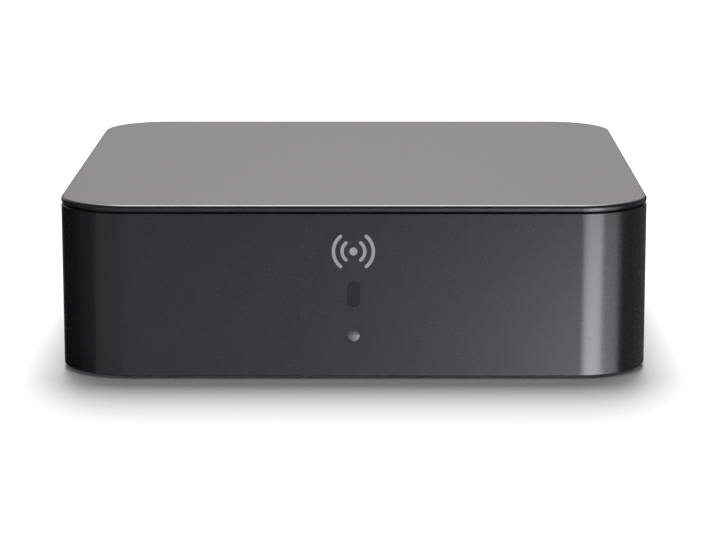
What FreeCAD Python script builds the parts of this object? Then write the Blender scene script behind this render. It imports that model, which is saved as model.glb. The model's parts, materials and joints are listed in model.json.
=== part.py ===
import FreeCAD, Part
import math
import os
import re

import Sketcher

# A compact network audio hub: a square case with large upright corners, a flat top cover that
# sits on the sleeve with a fine shadow gap, and a connector bay let into the back.
# Millimetres. +Z is up, the front faces -Y, and the origin is on the floor under the case's middle.

# Driving dimensions, one row of the sheet each
sizes = {
    # case
    "case_width": 142,
    "case_depth": 142,
    "case_height": 41.4,
    "corner_radius": 17,
    "sleeve_wall": 2.4,
    "edge_break": 0.3,
    "fit_gap": 0.2,
    "cut_over": 1,
    "slot_end": 0.48,
    # top cover
    "cover_plate": 1.2,
    "cover_edge": 0.7,
    "reveal_gap": 0.6,
    "reveal_depth": 1.0,
    "cover_lip_depth": 2.0,
    "cover_lip_wall": 1.4,
    "cover_boss_radius": 3.0,
    "cover_boss_length": 5.0,
    "cover_rib": 1.2,
    "cover_rib_depth": 1.5,
    "cover_rib_count": 3,
    "cover_rib_pitch": 32,
    # base tray and its vents
    "tray_plate": 2.4,
    "vent_count": 11,
    "vent_pitch": 8,
    "vent_width": 2.4,
    "vent_length": 26,
    "vent_back": 10,
    # feet
    "foot_proud": 1.0,
    "foot_recess": 0.6,
    "foot_radius": 6.5,
    "foot_shift": 2.0,
    "foot_edge": 0.4,
    # corner pillars and the long screws through them
    "pillar_inset": 10,
    "pillar_radius": 5,
    "case_screw_radius": 1.5,
    "case_screw_head_radius": 2.7,
    "case_screw_head": 0.9,
    "case_screw_bite": 4.0,
    "screw_clearance": 0.15,
    "thread_gap": 0.05,
    # connector bay
    "bay_side": 18,
    "bay_ceiling": 2.4,
    "bay_floor": 7.0,
    "bay_corner": 2.5,
    "bay_depth": 12,
    "bay_panel": 2.0,
    "bay_wall": 1.6,
    "bay_setback": 0.4,
    "bay_leg_radius": 3.0,
    "bay_leg_side": 12,
    "bay_leg_inset": 6.5,
    "bay_screw_bite": 4.0,
    "bay_vent_count": 11,
    "bay_vent_pitch": 4,
    "bay_vent_width": 1.8,
    "bay_vent_margin": 1.4,
    "bay_vent_drop": 2.4,
    # boards, their posts and screws
    "board_thickness": 1.6,
    "board_lift": 5.5,
    "board_corner": 3.0,
    "board_front_gap": 19,
    "board_back_gap": 0.5,
    "board_side_gap": 11,
    "board_split": 1.0,
    "post_radius": 3.0,
    "post_inset": 5.0,
    "post_back": 27,
    "board_screw_radius": 1.2,
    "board_screw_head_radius": 2.4,
    "board_screw_head": 1.5,
    "board_screw_bite": 4.5,
    # front board with the status light and the infrared eye
    "front_board_gap": 7.0,
    "front_board_thickness": 1.2,
    "front_board_width": 28,
    "front_board_margin": 4.5,
    "front_post_x": 10.5,
    "front_post_radius": 2.2,
    "front_screw_radius": 0.9,
    "front_screw_head_radius": 1.7,
    "front_screw_head": 1.0,
    "front_screw_bite": 4.0,
    "light_height": 9.8,
    "light_radius": 1.5,
    "eye_height": 20.0,
    "eye_width": 3.0,
    "eye_length": 6.0,
    "lens_rim": 0.8,
    "lens_flange": 1.0,
    "lens_gap": 0.08,
    "lens_setback": 0.1,
    "light_chip_width": 2.8,
    "light_chip_depth": 1.4,
    "light_chip_gap": 0.3,
    "receiver_width": 5.6,
    "receiver_height": 7.0,
    "receiver_depth": 3.4,
    "receiver_dome": 2.0,
    # ribbon between the front board and the main board
    "ribbon_width": 10,
    "ribbon_thickness": 0.3,
    "ribbon_bend": 2.4,
    "ribbon_run": 2.5,
    "socket_width": 14,
    "socket_depth": 4.0,
    "socket_height": 2.4,
    "socket_inset": 2.0,
    # phono sockets, two over two in one block
    "phono_column": 12.6,
    "phono_share": 0.25,
    "phono_block_side": 4.8,
    "phono_block_depth": 12,
    "phono_block_top": 5.0,
    "phono_radius": 4.15,
    "phono_wall": 0.6,
    "phono_neck": 0.2,
    "phono_length": 9.0,
    "phono_collar": 1.6,
    "phono_collar_radius": 4.7,
    "phono_insert_setback": 0.6,
    "phono_pin_radius": 1.6,
    "phono_pin_wall": 0.3,
    "phono_pin_setback": 2.0,
    # network socket
    "network_width": 15.8,
    "network_height": 13.4,
    "network_depth": 21,
    "network_shield": 0.3,
    "network_mouth_width": 11.8,
    "network_mouth_height": 8.0,
    "network_mouth_low": 4.0,
    "network_mouth_depth": 13,
    "network_latch_width": 6.4,
    "network_latch_height": 2.2,
    "network_contact_count": 8,
    "network_contact_pitch": 1.02,
    "network_contact": 0.45,
    "network_contact_length": 8.0,
    "network_contact_drop": 1.9,
    # upright serial bus socket
    "bus_width": 5.7,
    "bus_height": 13.1,
    "bus_depth": 14,
    "bus_shell": 0.35,
    "bus_lift": 0.3,
    "bus_tongue": 1.9,
    "bus_tongue_margin": 0.7,
    "bus_tongue_side": 0.6,
    "bus_tongue_setback": 0.8,
    # optical socket with a sprung flap
    "optical_width": 9.8,
    "optical_height": 11.4,
    "optical_depth": 14,
    "optical_mouth": 7.2,
    "optical_mouth_low": 1.5,
    "optical_back_gap": 1.8,
    "optical_roof": 1.5,
    "optical_eye_radius": 1.1,
    "optical_eye_length": 1.0,
    "flap_thickness": 0.7,
    "flap_gap": 0.2,
    "flap_setback": 0.9,
    "flap_pin_radius": 0.35,
    "flap_pin_length": 0.8,
    "flap_pin_gap": 0.05,
    "flap_pin_rise": 0.5,
    # trigger jack
    "jack_width": 6.2,
    "jack_height": 6.4,
    "jack_depth": 13,
    "jack_bore_radius": 1.8,
    "jack_bore_depth": 11,
    "jack_collar_radius": 2.7,
    # setup button and its switch
    "button_radius": 2.4,
    "button_proud": 1.2,
    "button_flange": 0.9,
    "button_flange_rim": 0.4,
    "button_gap": 0.15,
    "button_travel": 0.8,
    "button_height": 5.0,
    "plunger_radius": 1.1,
    "plunger_length": 5.0,
    "switch_width": 6.0,
    "switch_height": 7.4,
    "switch_depth": 5.0,
    "switch_slack": 0.4,
    # mains inlet with two pins
    "inlet_width": 19,
    "inlet_height": 11,
    "inlet_depth": 16,
    "inlet_lobe_radius": 4.1,
    "inlet_neck": 5.6,
    "inlet_mouth_depth": 12.5,
    "inlet_pitch": 8.6,
    "inlet_pin_radius": 1.2,
    "inlet_pin_length": 10,
    # panel cut-outs, and the screw between the phono sockets
    "panel_gap": 0.15,
    "panel_screw_radius": 1.3,
    "panel_screw_head_radius": 2.6,
    "panel_screw_head": 1.2,
    "panel_screw_bite": 6.0,
    "socket_flush": 0.3,
    # processor, its pad and heat sink
    "processor_gap": 3.6,
    "processor_front": 30,
    "processor_side": 16,
    "processor_thickness": 1.6,
    "pad_thickness": 1.0,
    "sink_width": 40,
    "sink_depth": 30,
    "sink_base": 3.0,
    "sink_fin_height": 10,
    "sink_fin_count": 9,
    "sink_fin_thickness": 1.2,
    "sink_leg": 3.0,
    # wireless module and its two aerials
    "radio_inset": 9,
    "radio_front": 22,
    "radio_width": 14,
    "radio_depth": 20,
    "radio_lift": 1.0,
    "radio_thickness": 1.0,
    "radio_can": 2.0,
    "radio_can_margin": 1.5,
    "aerial_length": 30,
    "aerial_height": 9,
    "aerial_thickness": 0.3,
    "aerial_y": 8,
    "aerial_z": 18,
    "lead_radius": 0.6,
    "lead_height": 17,
    "lead_front_gap": 3.4,
    "lead_step": 3,
    # small parts of the main board
    "chip_side": 8,
    "chip_thickness": 1.2,
    "chip_back": 26.5,
    "filter_radius": 3.1,
    "filter_height": 9,
    "filter_pitch": 9,
    "filter_count": 5,
    "filter_before": 1.5,
    "filter_back": 38.5,
    # power board
    "can_gap": 1.5,
    "transformer_width": 21,
    "transformer_depth": 18,
    "transformer_height": 17,
    "transformer_inset": 17,
    "transformer_core": 5,
    "winding_margin": 1.6,
    "reservoir_radius": 7,
    "reservoir_height": 22,
    "reservoir_inset": 9.5,
    "reservoir_back": 50,
    "suppressor_width": 17,
    "suppressor_depth": 7.5,
    "suppressor_height": 14,
    "suppressor_gap": 1.5,
    "choke_width": 14,
    "choke_depth": 11,
    "choke_height": 15,
    "choke_inset": 9,
    "choke_back": 37.5,
    "fuse_radius": 2.6,
    "fuse_length": 18,
    "fuse_side": 4.6,
    "fuse_gap": 1.6,
    "fuse_lift": 0.6,
    "power_sink_thickness": 2.0,
    "power_sink_length": 18,
    "power_sink_height": 19,
    "power_sink_inset": 2.5,
    "smoother_radius": 4,
    "smoother_height": 15,
    "smoother_inset": 15,
    "smoother_pitch": 10,
    # supply harness between the boards
    "header_width": 10,
    "header_depth": 6,
    "header_height": 5,
    "header_front": 14,
    "harness_width": 8,
    "harness_thickness": 1.2,
    "harness_bend": 2.4,
    "harness_rise": 4.0,
    # sheet that insulates the power board from the tray
    "sheet_thickness": 0.3,
    "sheet_lift": 2.0,
    "sheet_margin": 0.4,
    "sheet_post_gap": 0.1,
}

# Levels and planes worked out from the sizes above
places = {
    "half_width": "case_width / 2",
    "half_depth": "case_depth / 2",
    "case_low": "foot_proud",
    "case_top": "foot_proud + case_height",
    "cover_low": "case_top - cover_plate",
    "sleeve_top": "cover_low - reveal_gap",
    "inner_x": "half_width - sleeve_wall",
    "inner_y": "half_depth - sleeve_wall",
    "inner_radius": "corner_radius - sleeve_wall",
    "tray_top": "case_low + tray_plate",
    "pillar_x": "half_width - pillar_inset",
    "pillar_y": "half_depth - pillar_inset",
    "pillar_top": "sleeve_top - cover_boss_length",
    "foot_x": "pillar_x - foot_shift",
    "foot_y": "pillar_y - foot_shift",
    "foot_top": "case_low + foot_recess",
    "head_top": "foot_top + case_screw_head",
    "window_x": "half_width - bay_side",
    "window_low": "case_low + bay_floor",
    "window_high": "sleeve_top - bay_ceiling",
    "bay_out_x": "window_x - fit_gap",
    "bay_out_low": "window_low + fit_gap",
    "bay_out_high": "window_high - fit_gap",
    "bay_in_x": "bay_out_x - bay_wall",
    "bay_in_low": "bay_out_low + bay_wall",
    "bay_in_high": "bay_out_high - bay_wall",
    "bay_mouth": "half_depth - bay_setback",
    "panel_out": "half_depth - bay_depth",
    "panel_in": "panel_out - bay_panel",
    "face_y": "panel_out + socket_flush",
    "leg_x": "window_x - bay_leg_side",
    "leg_y": "half_depth - bay_leg_inset",
    "row_gap": "(2 * bay_in_x - inlet_width - jack_width - switch_width - network_width - bus_width"
    " - optical_width - phono_column - 2 * phono_block_side) / 8",
    "inlet_x": "-bay_in_x + row_gap + inlet_width / 2",
    "jack_x": "inlet_x + inlet_width / 2 + row_gap + jack_width / 2",
    "button_x": "jack_x + jack_width / 2 + row_gap + switch_width / 2",
    "phono_outer_x": "bay_in_x - row_gap - phono_block_side",
    "phono_inner_x": "phono_outer_x - phono_column",
    "optical_x": "phono_inner_x - phono_block_side - row_gap - optical_width / 2",
    "bus_x": "optical_x - optical_width / 2 - row_gap - bus_width / 2",
    "network_x": "bus_x - bus_width / 2 - row_gap - network_width / 2",
    "split_x": "inlet_x + inlet_width / 2 + row_gap / 2",
    "board_low": "tray_top + board_lift",
    "board_top": "board_low + board_thickness",
    "board_x": "half_width - board_side_gap",
    "board_front": "-half_depth + board_front_gap",
    "board_back": "panel_in - board_back_gap",
    "main_left": "split_x + board_split / 2",
    "power_right": "split_x - board_split / 2",
    "post_front_y": "board_front + post_inset",
    "post_back_y": "board_back - post_back",
    "front_inner": "-half_depth + sleeve_wall",
    "front_board_y": "front_inner + front_board_gap",
    "front_board_back": "front_board_y + front_board_thickness",
    "light_z": "case_low + light_height",
    "eye_z": "case_low + eye_height",
    "front_post_z": "(light_z + eye_z) / 2",
    "front_board_low": "light_z - front_board_margin",
    "front_board_high": "eye_z + front_board_margin + 1.5 * lens_rim",
    "lens_face": "-half_depth + lens_setback",
    "lens_back": "front_inner + lens_flange",
    "light_chip_face": "front_board_y - light_chip_depth",
    "bay_height": "bay_in_high - bay_in_low",
    "phono_low_z": "bay_in_low + phono_share * bay_height",
    "phono_high_z": "bay_in_high - phono_share * bay_height",
    "phono_middle_x": "(phono_outer_x + phono_inner_x) / 2",
    "phono_middle_z": "(phono_low_z + phono_high_z) / 2",
    "bay_vent_low": "board_top + network_height + bay_vent_margin",
    "bay_vent_high": "bay_in_high - bay_vent_drop",
    "phono_end": "panel_out + phono_length",
    "phono_back": "panel_in - phono_block_depth",
    "optical_low": "board_top + optical_mouth_low",
    "optical_high": "optical_low + optical_mouth",
    "flap_pin_z": "optical_high + flap_pin_rise",
    "flap_face": "face_y - flap_setback",
    "flap_pin_y": "flap_face - flap_thickness / 2",
    "optical_end": "flap_pin_y - optical_mouth - flap_pin_rise - optical_back_gap",
    "jack_z": "board_top + jack_height / 2",
    "button_z": "board_top + button_height",
    "button_end": "panel_out + button_proud",
    "flange_out": "panel_in - button_gap",
    "flange_in": "flange_out - button_flange",
    "plunger_end": "flange_in - plunger_length",
    "switch_face": "plunger_end + plunger_length - button_travel - switch_slack",
    "inlet_z": "board_top + inlet_height / 2",
    "sink_low": "board_top + processor_thickness + pad_thickness",
    "sheet_low": "board_low - sheet_lift",
    "processor_y": "board_front + processor_front",
    "radio_x": "board_x - radio_inset",
    "radio_y": "board_front + radio_front",
    "processor_x": "radio_x - radio_width / 2 - processor_gap - sink_width / 2",
    "chip_y": "board_back - chip_back",
    "filter_y": "board_back - filter_back",
    "transformer_x": "-board_x + transformer_inset",
    "reservoir_x": "-board_x + reservoir_inset",
    "reservoir_y": "board_back - reservoir_back",
    "transformer_y": "reservoir_y - reservoir_radius - can_gap - transformer_depth / 2",
    "suppressor_y": "face_y - inlet_depth - suppressor_gap - suppressor_depth / 2",
    "choke_x": "power_right - choke_inset",
    "choke_y": "board_back - choke_back",
    "power_sink_x": "-board_x + power_sink_inset",
    "smoother_x": "-board_x + smoother_inset",
    "smoother_y": "transformer_y - transformer_depth / 2 - can_gap - smoother_radius",
    "header_y": "board_front + header_front",
    "header_left": "power_right - fit_gap - header_depth",
    "header_right": "main_left + fit_gap + header_depth",
    "fuse_x": "-board_x + fuse_side",
    "fuse_low_y": "post_back_y + board_screw_head_radius + fuse_gap",
}

document = FreeCAD.newDocument("network_audio_hub")
sheet = document.addObject("Spreadsheet::Sheet", "dims")
for row, (alias, size) in enumerate(sizes.items(), start=1):
    sheet.set(f"A{row}", alias)
    sheet.set(f"B{row}", str(size))
    sheet.setAlias(f"B{row}", alias)
document.recompute()
subparts = []


def bind(text):
    """Writes a sum of size and place names as an expression on the sheet's cells."""

    def cell(match):
        word = match.group(0)
        if word in places:
            return f"({bind(places[word])})"
        return f"dims.{word}"

    return re.sub(r"[a-z][a-z_]+", cell, str(text))


def value(text):
    """The length that a sum of size and place names has now."""
    return float(sheet.evalExpression(bind(text)))


def whole(text):
    """A count from the sheet."""
    return int(round(value(text)))


# An outline is a function that gets the number of its first line or arc in the sketch, and gives
# its lines and arcs with the rules that hold them. A rule that is a dimension ends in a sum.
dimension_rules = ("DistanceX", "DistanceY", "Radius")
upright = FreeCAD.Vector(0, 0, 1)


def circle(x, y, radius):
    """A round outline."""

    def draw(first):
        ring = Part.Circle(FreeCAD.Vector(value(x), value(y), 0), upright, value(radius))
        rules = [
            ("DistanceX", -1, 1, first, 3, x),
            ("DistanceY", -1, 1, first, 3, y),
            ("Radius", first, radius),
        ]
        return [ring], rules

    return draw


def polygon(*corners):
    """A closed outline with straight sides, its corners given one after the other."""

    def draw(first):
        points = [FreeCAD.Vector(value(x), value(y), 0) for x, y in corners]
        lines, rules = [], []
        for number, (x, y) in enumerate(corners):
            after = (number + 1) % len(corners)
            lines.append(Part.LineSegment(points[number], points[after]))
            rules.append(("Coincident", first + number, 2, first + after, 1))
            rules.append(("DistanceX", -1, 1, first + number, 1, x))
            rules.append(("DistanceY", -1, 1, first + number, 1, y))
        return lines, rules

    return draw


def rectangle(left, right, low, high):
    """An upright rectangle with square corners."""
    return polygon((left, low), (right, low), (right, high), (left, high))


def rounded(left, right, low, high, radius):
    """An upright rectangle with round corners: four sides, each running into a quarter circle."""

    def draw(first):
        x0, x1, y0, y1, r = (value(place) for place in (left, right, low, high, radius))
        sides = (
            ((x0 + r, y0), (x1 - r, y0)),
            ((x1, y0 + r), (x1, y1 - r)),
            ((x1 - r, y1), (x0 + r, y1)),
            ((x0, y1 - r), (x0, y0 + r)),
        )
        middles = ((x1 - r, y0 + r), (x1 - r, y1 - r), (x0 + r, y1 - r), (x0 + r, y0 + r))
        shapes, rules = [], []
        for quarter, (start, end) in enumerate(sides):
            shapes.append(Part.LineSegment(FreeCAD.Vector(*start, 0), FreeCAD.Vector(*end, 0)))
            turn = Part.Circle(FreeCAD.Vector(*middles[quarter], 0), upright, r)
            angle = math.pi / 2 * (quarter - 1)
            shapes.append(Part.ArcOfCircle(turn, angle, angle + math.pi / 2))
            line, arc = first + 2 * quarter, first + 2 * quarter + 1
            following = first + 2 * ((quarter + 1) % 4)
            rules.append(("Tangent", line, 2, arc, 1))
            rules.append(("Tangent", arc, 2, following, 1))
            if quarter:
                rules.append(("Equal", first + 1, arc))
        rules += [("Horizontal", first), ("Vertical", first + 2), ("Horizontal", first + 4)]
        rules += [
            ("DistanceX", -1, 1, first + 6, 1, left),
            ("DistanceX", -1, 1, first + 2, 1, right),
            ("DistanceY", -1, 1, first, 1, low),
            ("DistanceY", -1, 1, first + 4, 1, high),
            ("Radius", first + 1, radius),
        ]
        return shapes, rules

    return draw


# How each sketch plane faces: the sign of its normal along the axis that it stands across
plane_sign = {"XY": 1, "XZ": -1, "YZ": 1}

# The most of a run that a free bend takes, and how far a lead's volume may be from its path's
bend_share = 0.45
volume_slack = 0.02


def new_body(label):
    """An empty body that becomes one sub-part or a step towards one."""
    body = document.addObject("PartDesign::Body", label)
    body.Label = label
    return body


def draw_outlines(sketch, outlines):
    """Draws outlines in a sketch and ties their dimensions to the sheet."""
    shapes, rules = [], []
    for outline in outlines:
        more_shapes, more_rules = outline(len(shapes))
        shapes += more_shapes
        rules += more_rules
    constraints = []
    for kind, *targets in rules:
        if kind in dimension_rules:
            targets[-1] = value(targets[-1])
        constraints.append(Sketcher.Constraint(kind, *targets))
    sketch.addGeometry(shapes)
    sketch.addConstraint(constraints)
    for number, rule in enumerate(rules):
        if rule[0] in dimension_rules:
            sketch.setExpression(f"Constraints[{number}]", bind(rule[-1]))


def extrude(body, kind, plane, low, high, outlines):
    """Pads or pockets outlines on a plane across an axis, from one place on it to a higher one."""
    sketch = body.newObject("Sketcher::SketchObject", f"{body.Name}_sketch")
    sketch.AttachmentSupport = (origin_feature(body, f"{plane}_Plane"), [""])
    sketch.MapMode = "FlatFace"
    sign = plane_sign[plane]
    sketch.setExpression("AttachmentOffset.Base.z", f"{sign} * ({bind(low)})")
    draw_outlines(sketch, outlines)
    feature = body.newObject(f"PartDesign::{kind}", f"{body.Name}_{kind.lower()}")
    feature.Profile = sketch
    feature.setExpression("Length", f"{bind(high)} - ({bind(low)})")
    feature.Reversed = (sign < 0) if kind == "Pad" else (sign > 0)
    sketch.Visibility = False
    return feature


def origin_feature(body, role):
    """One of a body's own origin planes or axes."""
    return next(f for f in body.Origin.OriginFeatures if f.Role == role)


def pad(body, plane, low, high, *outlines):
    return extrude(body, "Pad", plane, low, high, outlines)


def cut(body, plane, low, high, *outlines):
    return extrude(body, "Pocket", plane, low, high, outlines)


def repeat(body, feature, axis, pitch, count):
    """Repeats a pad or a pocket at even steps along an axis."""
    row = body.newObject("PartDesign::LinearPattern", f"{body.Name}_row")
    row.Originals = [feature]
    row.Direction = (origin_feature(body, f"{axis}_Axis"), [""])
    row.Mode = "Spacing"
    row.setExpression("Offset", bind(pitch))
    row.setExpression("Occurrences", bind(count))
    body.Tip = row


def dress(body, kind, size, chosen):
    """Rounds or chamfers the edges that chosen picks."""
    document.recompute()
    tip = body.Tip
    names = [f"Edge{i}" for i, edge in enumerate(tip.Shape.Edges, start=1) if chosen(edge)]
    feature = body.newObject(f"PartDesign::{kind}", f"{body.Name}_{kind.lower()}")
    feature.Base = (tip, names)
    feature.setExpression("Radius" if kind == "Fillet" else "Size", bind(size))
    body.Tip = feature
    return feature


def keep(shape_object, label=None):
    """Counts an object as a finished sub-part."""
    if label:
        shape_object.Label = label
    subparts.append(shape_object)
    return shape_object


def block(label, x, y, z):
    """A plain box between two places on each axis."""
    box = document.addObject("Part::Box", label)
    for side, axis, (low, high) in (("Length", "x", x), ("Width", "y", y), ("Height", "z", z)):
        box.setExpression(side, f"{bind(high)} - ({bind(low)})")
        box.setExpression(f"Placement.Base.{axis}", bind(low))
    return box


# The turn that lays a cylinder along each axis
cylinder_turn = {
    "X": FreeCAD.Rotation(FreeCAD.Vector(0, 1, 0), 90),
    "Y": FreeCAD.Rotation(FreeCAD.Vector(1, 0, 0), -90),
    "Z": FreeCAD.Rotation(),
}


def rod(label, axis, start, length, radius):
    """A cylinder that starts at a point and runs up one axis."""
    cylinder = document.addObject("Part::Cylinder", label)
    cylinder.Placement = FreeCAD.Placement(FreeCAD.Vector(), cylinder_turn[axis])
    cylinder.setExpression("Radius", bind(radius))
    cylinder.setExpression("Height", bind(length))
    for name, place in zip("xyz", start):
        cylinder.setExpression(f"Placement.Base.{name}", bind(place))
    return cylinder


def join(label, *pieces):
    """One solid from pieces that touch or overlap."""
    fused = document.addObject("Part::MultiFuse", label)
    fused.Shapes = list(pieces)
    return fused


def group(label, *pieces):
    """Separate solids that share one sub-part."""
    compound = document.addObject("Part::Compound", label)
    compound.Links = list(pieces)
    return compound


def minus(label, base, tool):
    """A piece with another cut out of it."""
    difference = document.addObject("Part::Cut", label)
    difference.Base = base
    difference.Tool = tool
    return difference


def mirrored(x, y):
    """The four places that one corner place has in a square layout."""
    return [(f"{a}({x})", f"{b}({y})") for a in ("", "-") for b in ("", "-")]


def inset_outline(inset):
    """The case's outline, drawn in by a wall or a gap."""
    x, y = f"half_width - ({inset})", f"half_depth - ({inset})"
    return rounded(f"-({x})", x, f"-({y})", y, f"corner_radius - ({inset})")


def at_height(edge, height):
    """True for an edge that lies level at a height."""
    z = value(height)
    return abs(edge.BoundBox.ZMin - z) < 1e-4 and abs(edge.BoundBox.ZMax - z) < 1e-4


def outer_edge(edge):
    """True for an edge on the case's outline."""
    box = edge.BoundBox
    far_x = max(abs(box.XMin), abs(box.XMax))
    far_y = max(abs(box.YMin), abs(box.YMax))
    return abs(far_x - value("half_width")) < 1e-4 or abs(far_y - value("half_depth")) < 1e-4


def rounded_path(corners, bend=None):
    """Straight runs from corner to corner, joined by arcs: of one radius, or else as wide as fits."""
    points = [FreeCAD.Vector(*corner) for corner in corners]
    edges, here = [], points[0]
    for before, corner, after in zip(points, points[1:], points[2:]):
        inward, outward = corner - before, after - corner
        half_turn = inward.getAngle(outward) / 2
        widest = bend_share * min(inward.Length, outward.Length)
        reach = bend * math.tan(half_turn) if bend else widest
        radius = reach / math.tan(half_turn)
        start = corner - inward.normalize() * reach
        end = corner + outward.normalize() * reach
        middle = corner + (outward - inward).normalize() * radius * (1 / math.cos(half_turn) - 1)
        edges.append(Part.LineSegment(here, start).toShape())
        edges.append(Part.Arc(start, middle, end).toShape())
        here = end
    edges.append(Part.LineSegment(here, points[-1]).toShape())
    return Part.Wire(edges)


def flat_cable(label, corners, bend, thickness, width):
    """A flat cable: a strip along one side of its path, drawn out to its width."""
    path = rounded_path(corners, value(bend))
    strip = path.makeOffset2D(value(thickness), fill=True, openResult=True)
    cable = document.addObject("Part::Feature", label)
    cable.Shape = strip.extrude(width)
    keep(cable)


# Case


def sleeve():
    body = new_body("sleeve")
    pad(body, "XY", "case_low", "sleeve_top", inset_outline("0"), inset_outline("sleeve_wall"))
    pillars = [circle(x, y, "pillar_radius") for x, y in mirrored("pillar_x", "pillar_y")]
    pad(body, "XY", "tray_top", "pillar_top", *pillars)
    holes = [
        circle(x, y, "case_screw_radius + screw_clearance")
        for x, y in mirrored("pillar_x", "pillar_y")
    ]
    cut(body, "XY", "tray_top - cut_over", "pillar_top + cut_over", *holes)
    window = rounded("-window_x", "window_x", "window_low", "window_high", "bay_corner")
    cut(body, "XZ", "inner_y - cut_over", "half_depth + cut_over", window)
    posts = [
        circle(f"{side}front_post_x", "front_post_z", "front_post_radius") for side in ("-", "")
    ]
    pad(body, "XZ", "front_inner - sleeve_wall / 2", "front_board_y", *posts)
    pilots = [
        circle(f"{side}front_post_x", "front_post_z", "front_screw_radius + thread_gap")
        for side in ("-", "")
    ]
    cut(body, "XZ", "front_board_y - front_screw_bite", "front_board_y + cut_over", *pilots)
    light = circle("0", "light_z", "light_radius + lens_gap")
    eye = eye_outline("lens_gap")
    cut(body, "XZ", "-half_depth - cut_over", "front_inner + cut_over", light, eye)
    for height in ("sleeve_top", "case_low"):
        dress(body, "Chamfer", "edge_break", lambda e: at_height(e, height) and outer_edge(e))
    keep(body)


def top_cover():
    body = new_body("top_cover")
    pad(body, "XY", "cover_low", "case_top", inset_outline("0"))
    pad(body, "XY", "sleeve_top", "cover_low", inset_outline("reveal_depth"))
    lip = "sleeve_wall + fit_gap"
    walls = inset_outline(lip), inset_outline(f"{lip} + cover_lip_wall")
    pad(body, "XY", "sleeve_top - cover_lip_depth", "sleeve_top", *walls)
    bosses = [circle(x, y, "cover_boss_radius") for x, y in mirrored("pillar_x", "pillar_y")]
    pad(body, "XY", "pillar_top", "sleeve_top", *bosses)
    pilots = [
        circle(x, y, "case_screw_radius + thread_gap") for x, y in mirrored("pillar_x", "pillar_y")
    ]
    cut(body, "XY", "pillar_top - cut_over", "sleeve_top", *pilots)
    dress(body, "Fillet", "cover_edge", lambda e: at_height(e, "case_top") and outer_edge(e))
    reach = f"({lip} + cover_lip_wall / 2)"
    first = "-cover_rib_pitch * (cover_rib_count - 1) / 2"
    near, far = f"{first} - cover_rib / 2", f"{first} + cover_rib / 2"
    low, high = "sleeve_top - cover_rib_depth", "sleeve_top"
    along = rectangle(near, far, f"{reach} - half_depth", f"half_depth - {reach}")
    rib = pad(body, "XY", low, high, along)
    repeat(body, rib, "X", "cover_rib_pitch", "cover_rib_count")
    across = rectangle(f"{reach} - half_width", f"half_width - {reach}", near, far)
    rib = pad(body, "XY", low, high, across)
    repeat(body, rib, "Y", "cover_rib_pitch", "cover_rib_count")
    keep(body)


def main_posts():
    """Where the main board and the power board stand on posts."""
    rows = ("post_front_y", "post_back_y")
    main = [(x, y) for x in ("main_left + post_inset", "board_x - post_inset") for y in rows]
    power = [(x, y) for x in ("-board_x + post_inset", "power_right - post_inset") for y in rows]
    return main, power


def base_tray():
    body = new_body("base_tray")
    pad(body, "XY", "case_low", "tray_top", inset_outline("sleeve_wall + fit_gap"))
    main, power = main_posts()
    posts = [circle(x, y, "post_radius") for x, y in main + power]
    pad(body, "XY", "tray_top", "board_low", *posts)
    pilots = [circle(x, y, "board_screw_radius + thread_gap") for x, y in main + power]
    cut(body, "XY", "board_low - board_screw_bite", "board_low + cut_over", *pilots)
    feet = [circle(x, y, "foot_radius + fit_gap / 2") for x, y in mirrored("foot_x", "foot_y")]
    cut(body, "XY", "case_low - cut_over", "foot_top", *feet)
    heads = [
        circle(x, y, "case_screw_head_radius + screw_clearance")
        for x, y in mirrored("pillar_x", "pillar_y")
    ]
    cut(body, "XY", "case_low - cut_over", "head_top", *heads)
    shanks = [
        circle(x, y, "case_screw_radius + screw_clearance")
        for x, y in mirrored("pillar_x", "pillar_y")
    ]
    bay_shanks = [
        circle(f"{side}leg_x", "leg_y", "case_screw_radius + screw_clearance")
        for side in ("-", "")
    ]
    cut(body, "XY", "case_low - cut_over", "tray_top + cut_over", *shanks, *bay_shanks)
    bay_heads = [
        circle(f"{side}leg_x", "leg_y", "case_screw_head_radius + screw_clearance")
        for side in ("-", "")
    ]
    cut(body, "XY", "case_low - cut_over", "head_top", *bay_heads)
    first = "-vent_pitch * (vent_count - 1) / 2"
    slot = rounded(
        f"{first} - vent_width / 2",
        f"{first} + vent_width / 2",
        "-vent_back - vent_length / 2",
        "-vent_back + vent_length / 2",
        "vent_width * slot_end",
    )
    vent = cut(body, "XY", "case_low - cut_over", "tray_top + cut_over", slot)
    repeat(body, vent, "X", "vent_pitch", "vent_count")
    keep(body)


def rubber_feet():
    body = new_body("rubber_feet")
    feet = [circle(x, y, "foot_radius") for x, y in mirrored("foot_x", "foot_y")]
    pad(body, "XY", "0", "foot_top", *feet)
    dress(body, "Chamfer", "foot_edge", lambda e: at_height(e, "0"))
    keep(body)


def case_screws():
    body = new_body("case_screws")
    corners = mirrored("pillar_x", "pillar_y")
    shanks = [circle(x, y, "case_screw_radius") for x, y in corners]
    pad(body, "XY", "head_top", "pillar_top + case_screw_bite", *shanks)
    heads = [circle(x, y, "case_screw_head_radius") for x, y in corners]
    pad(body, "XY", "foot_top", "head_top", *heads)
    keep(body)


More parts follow.
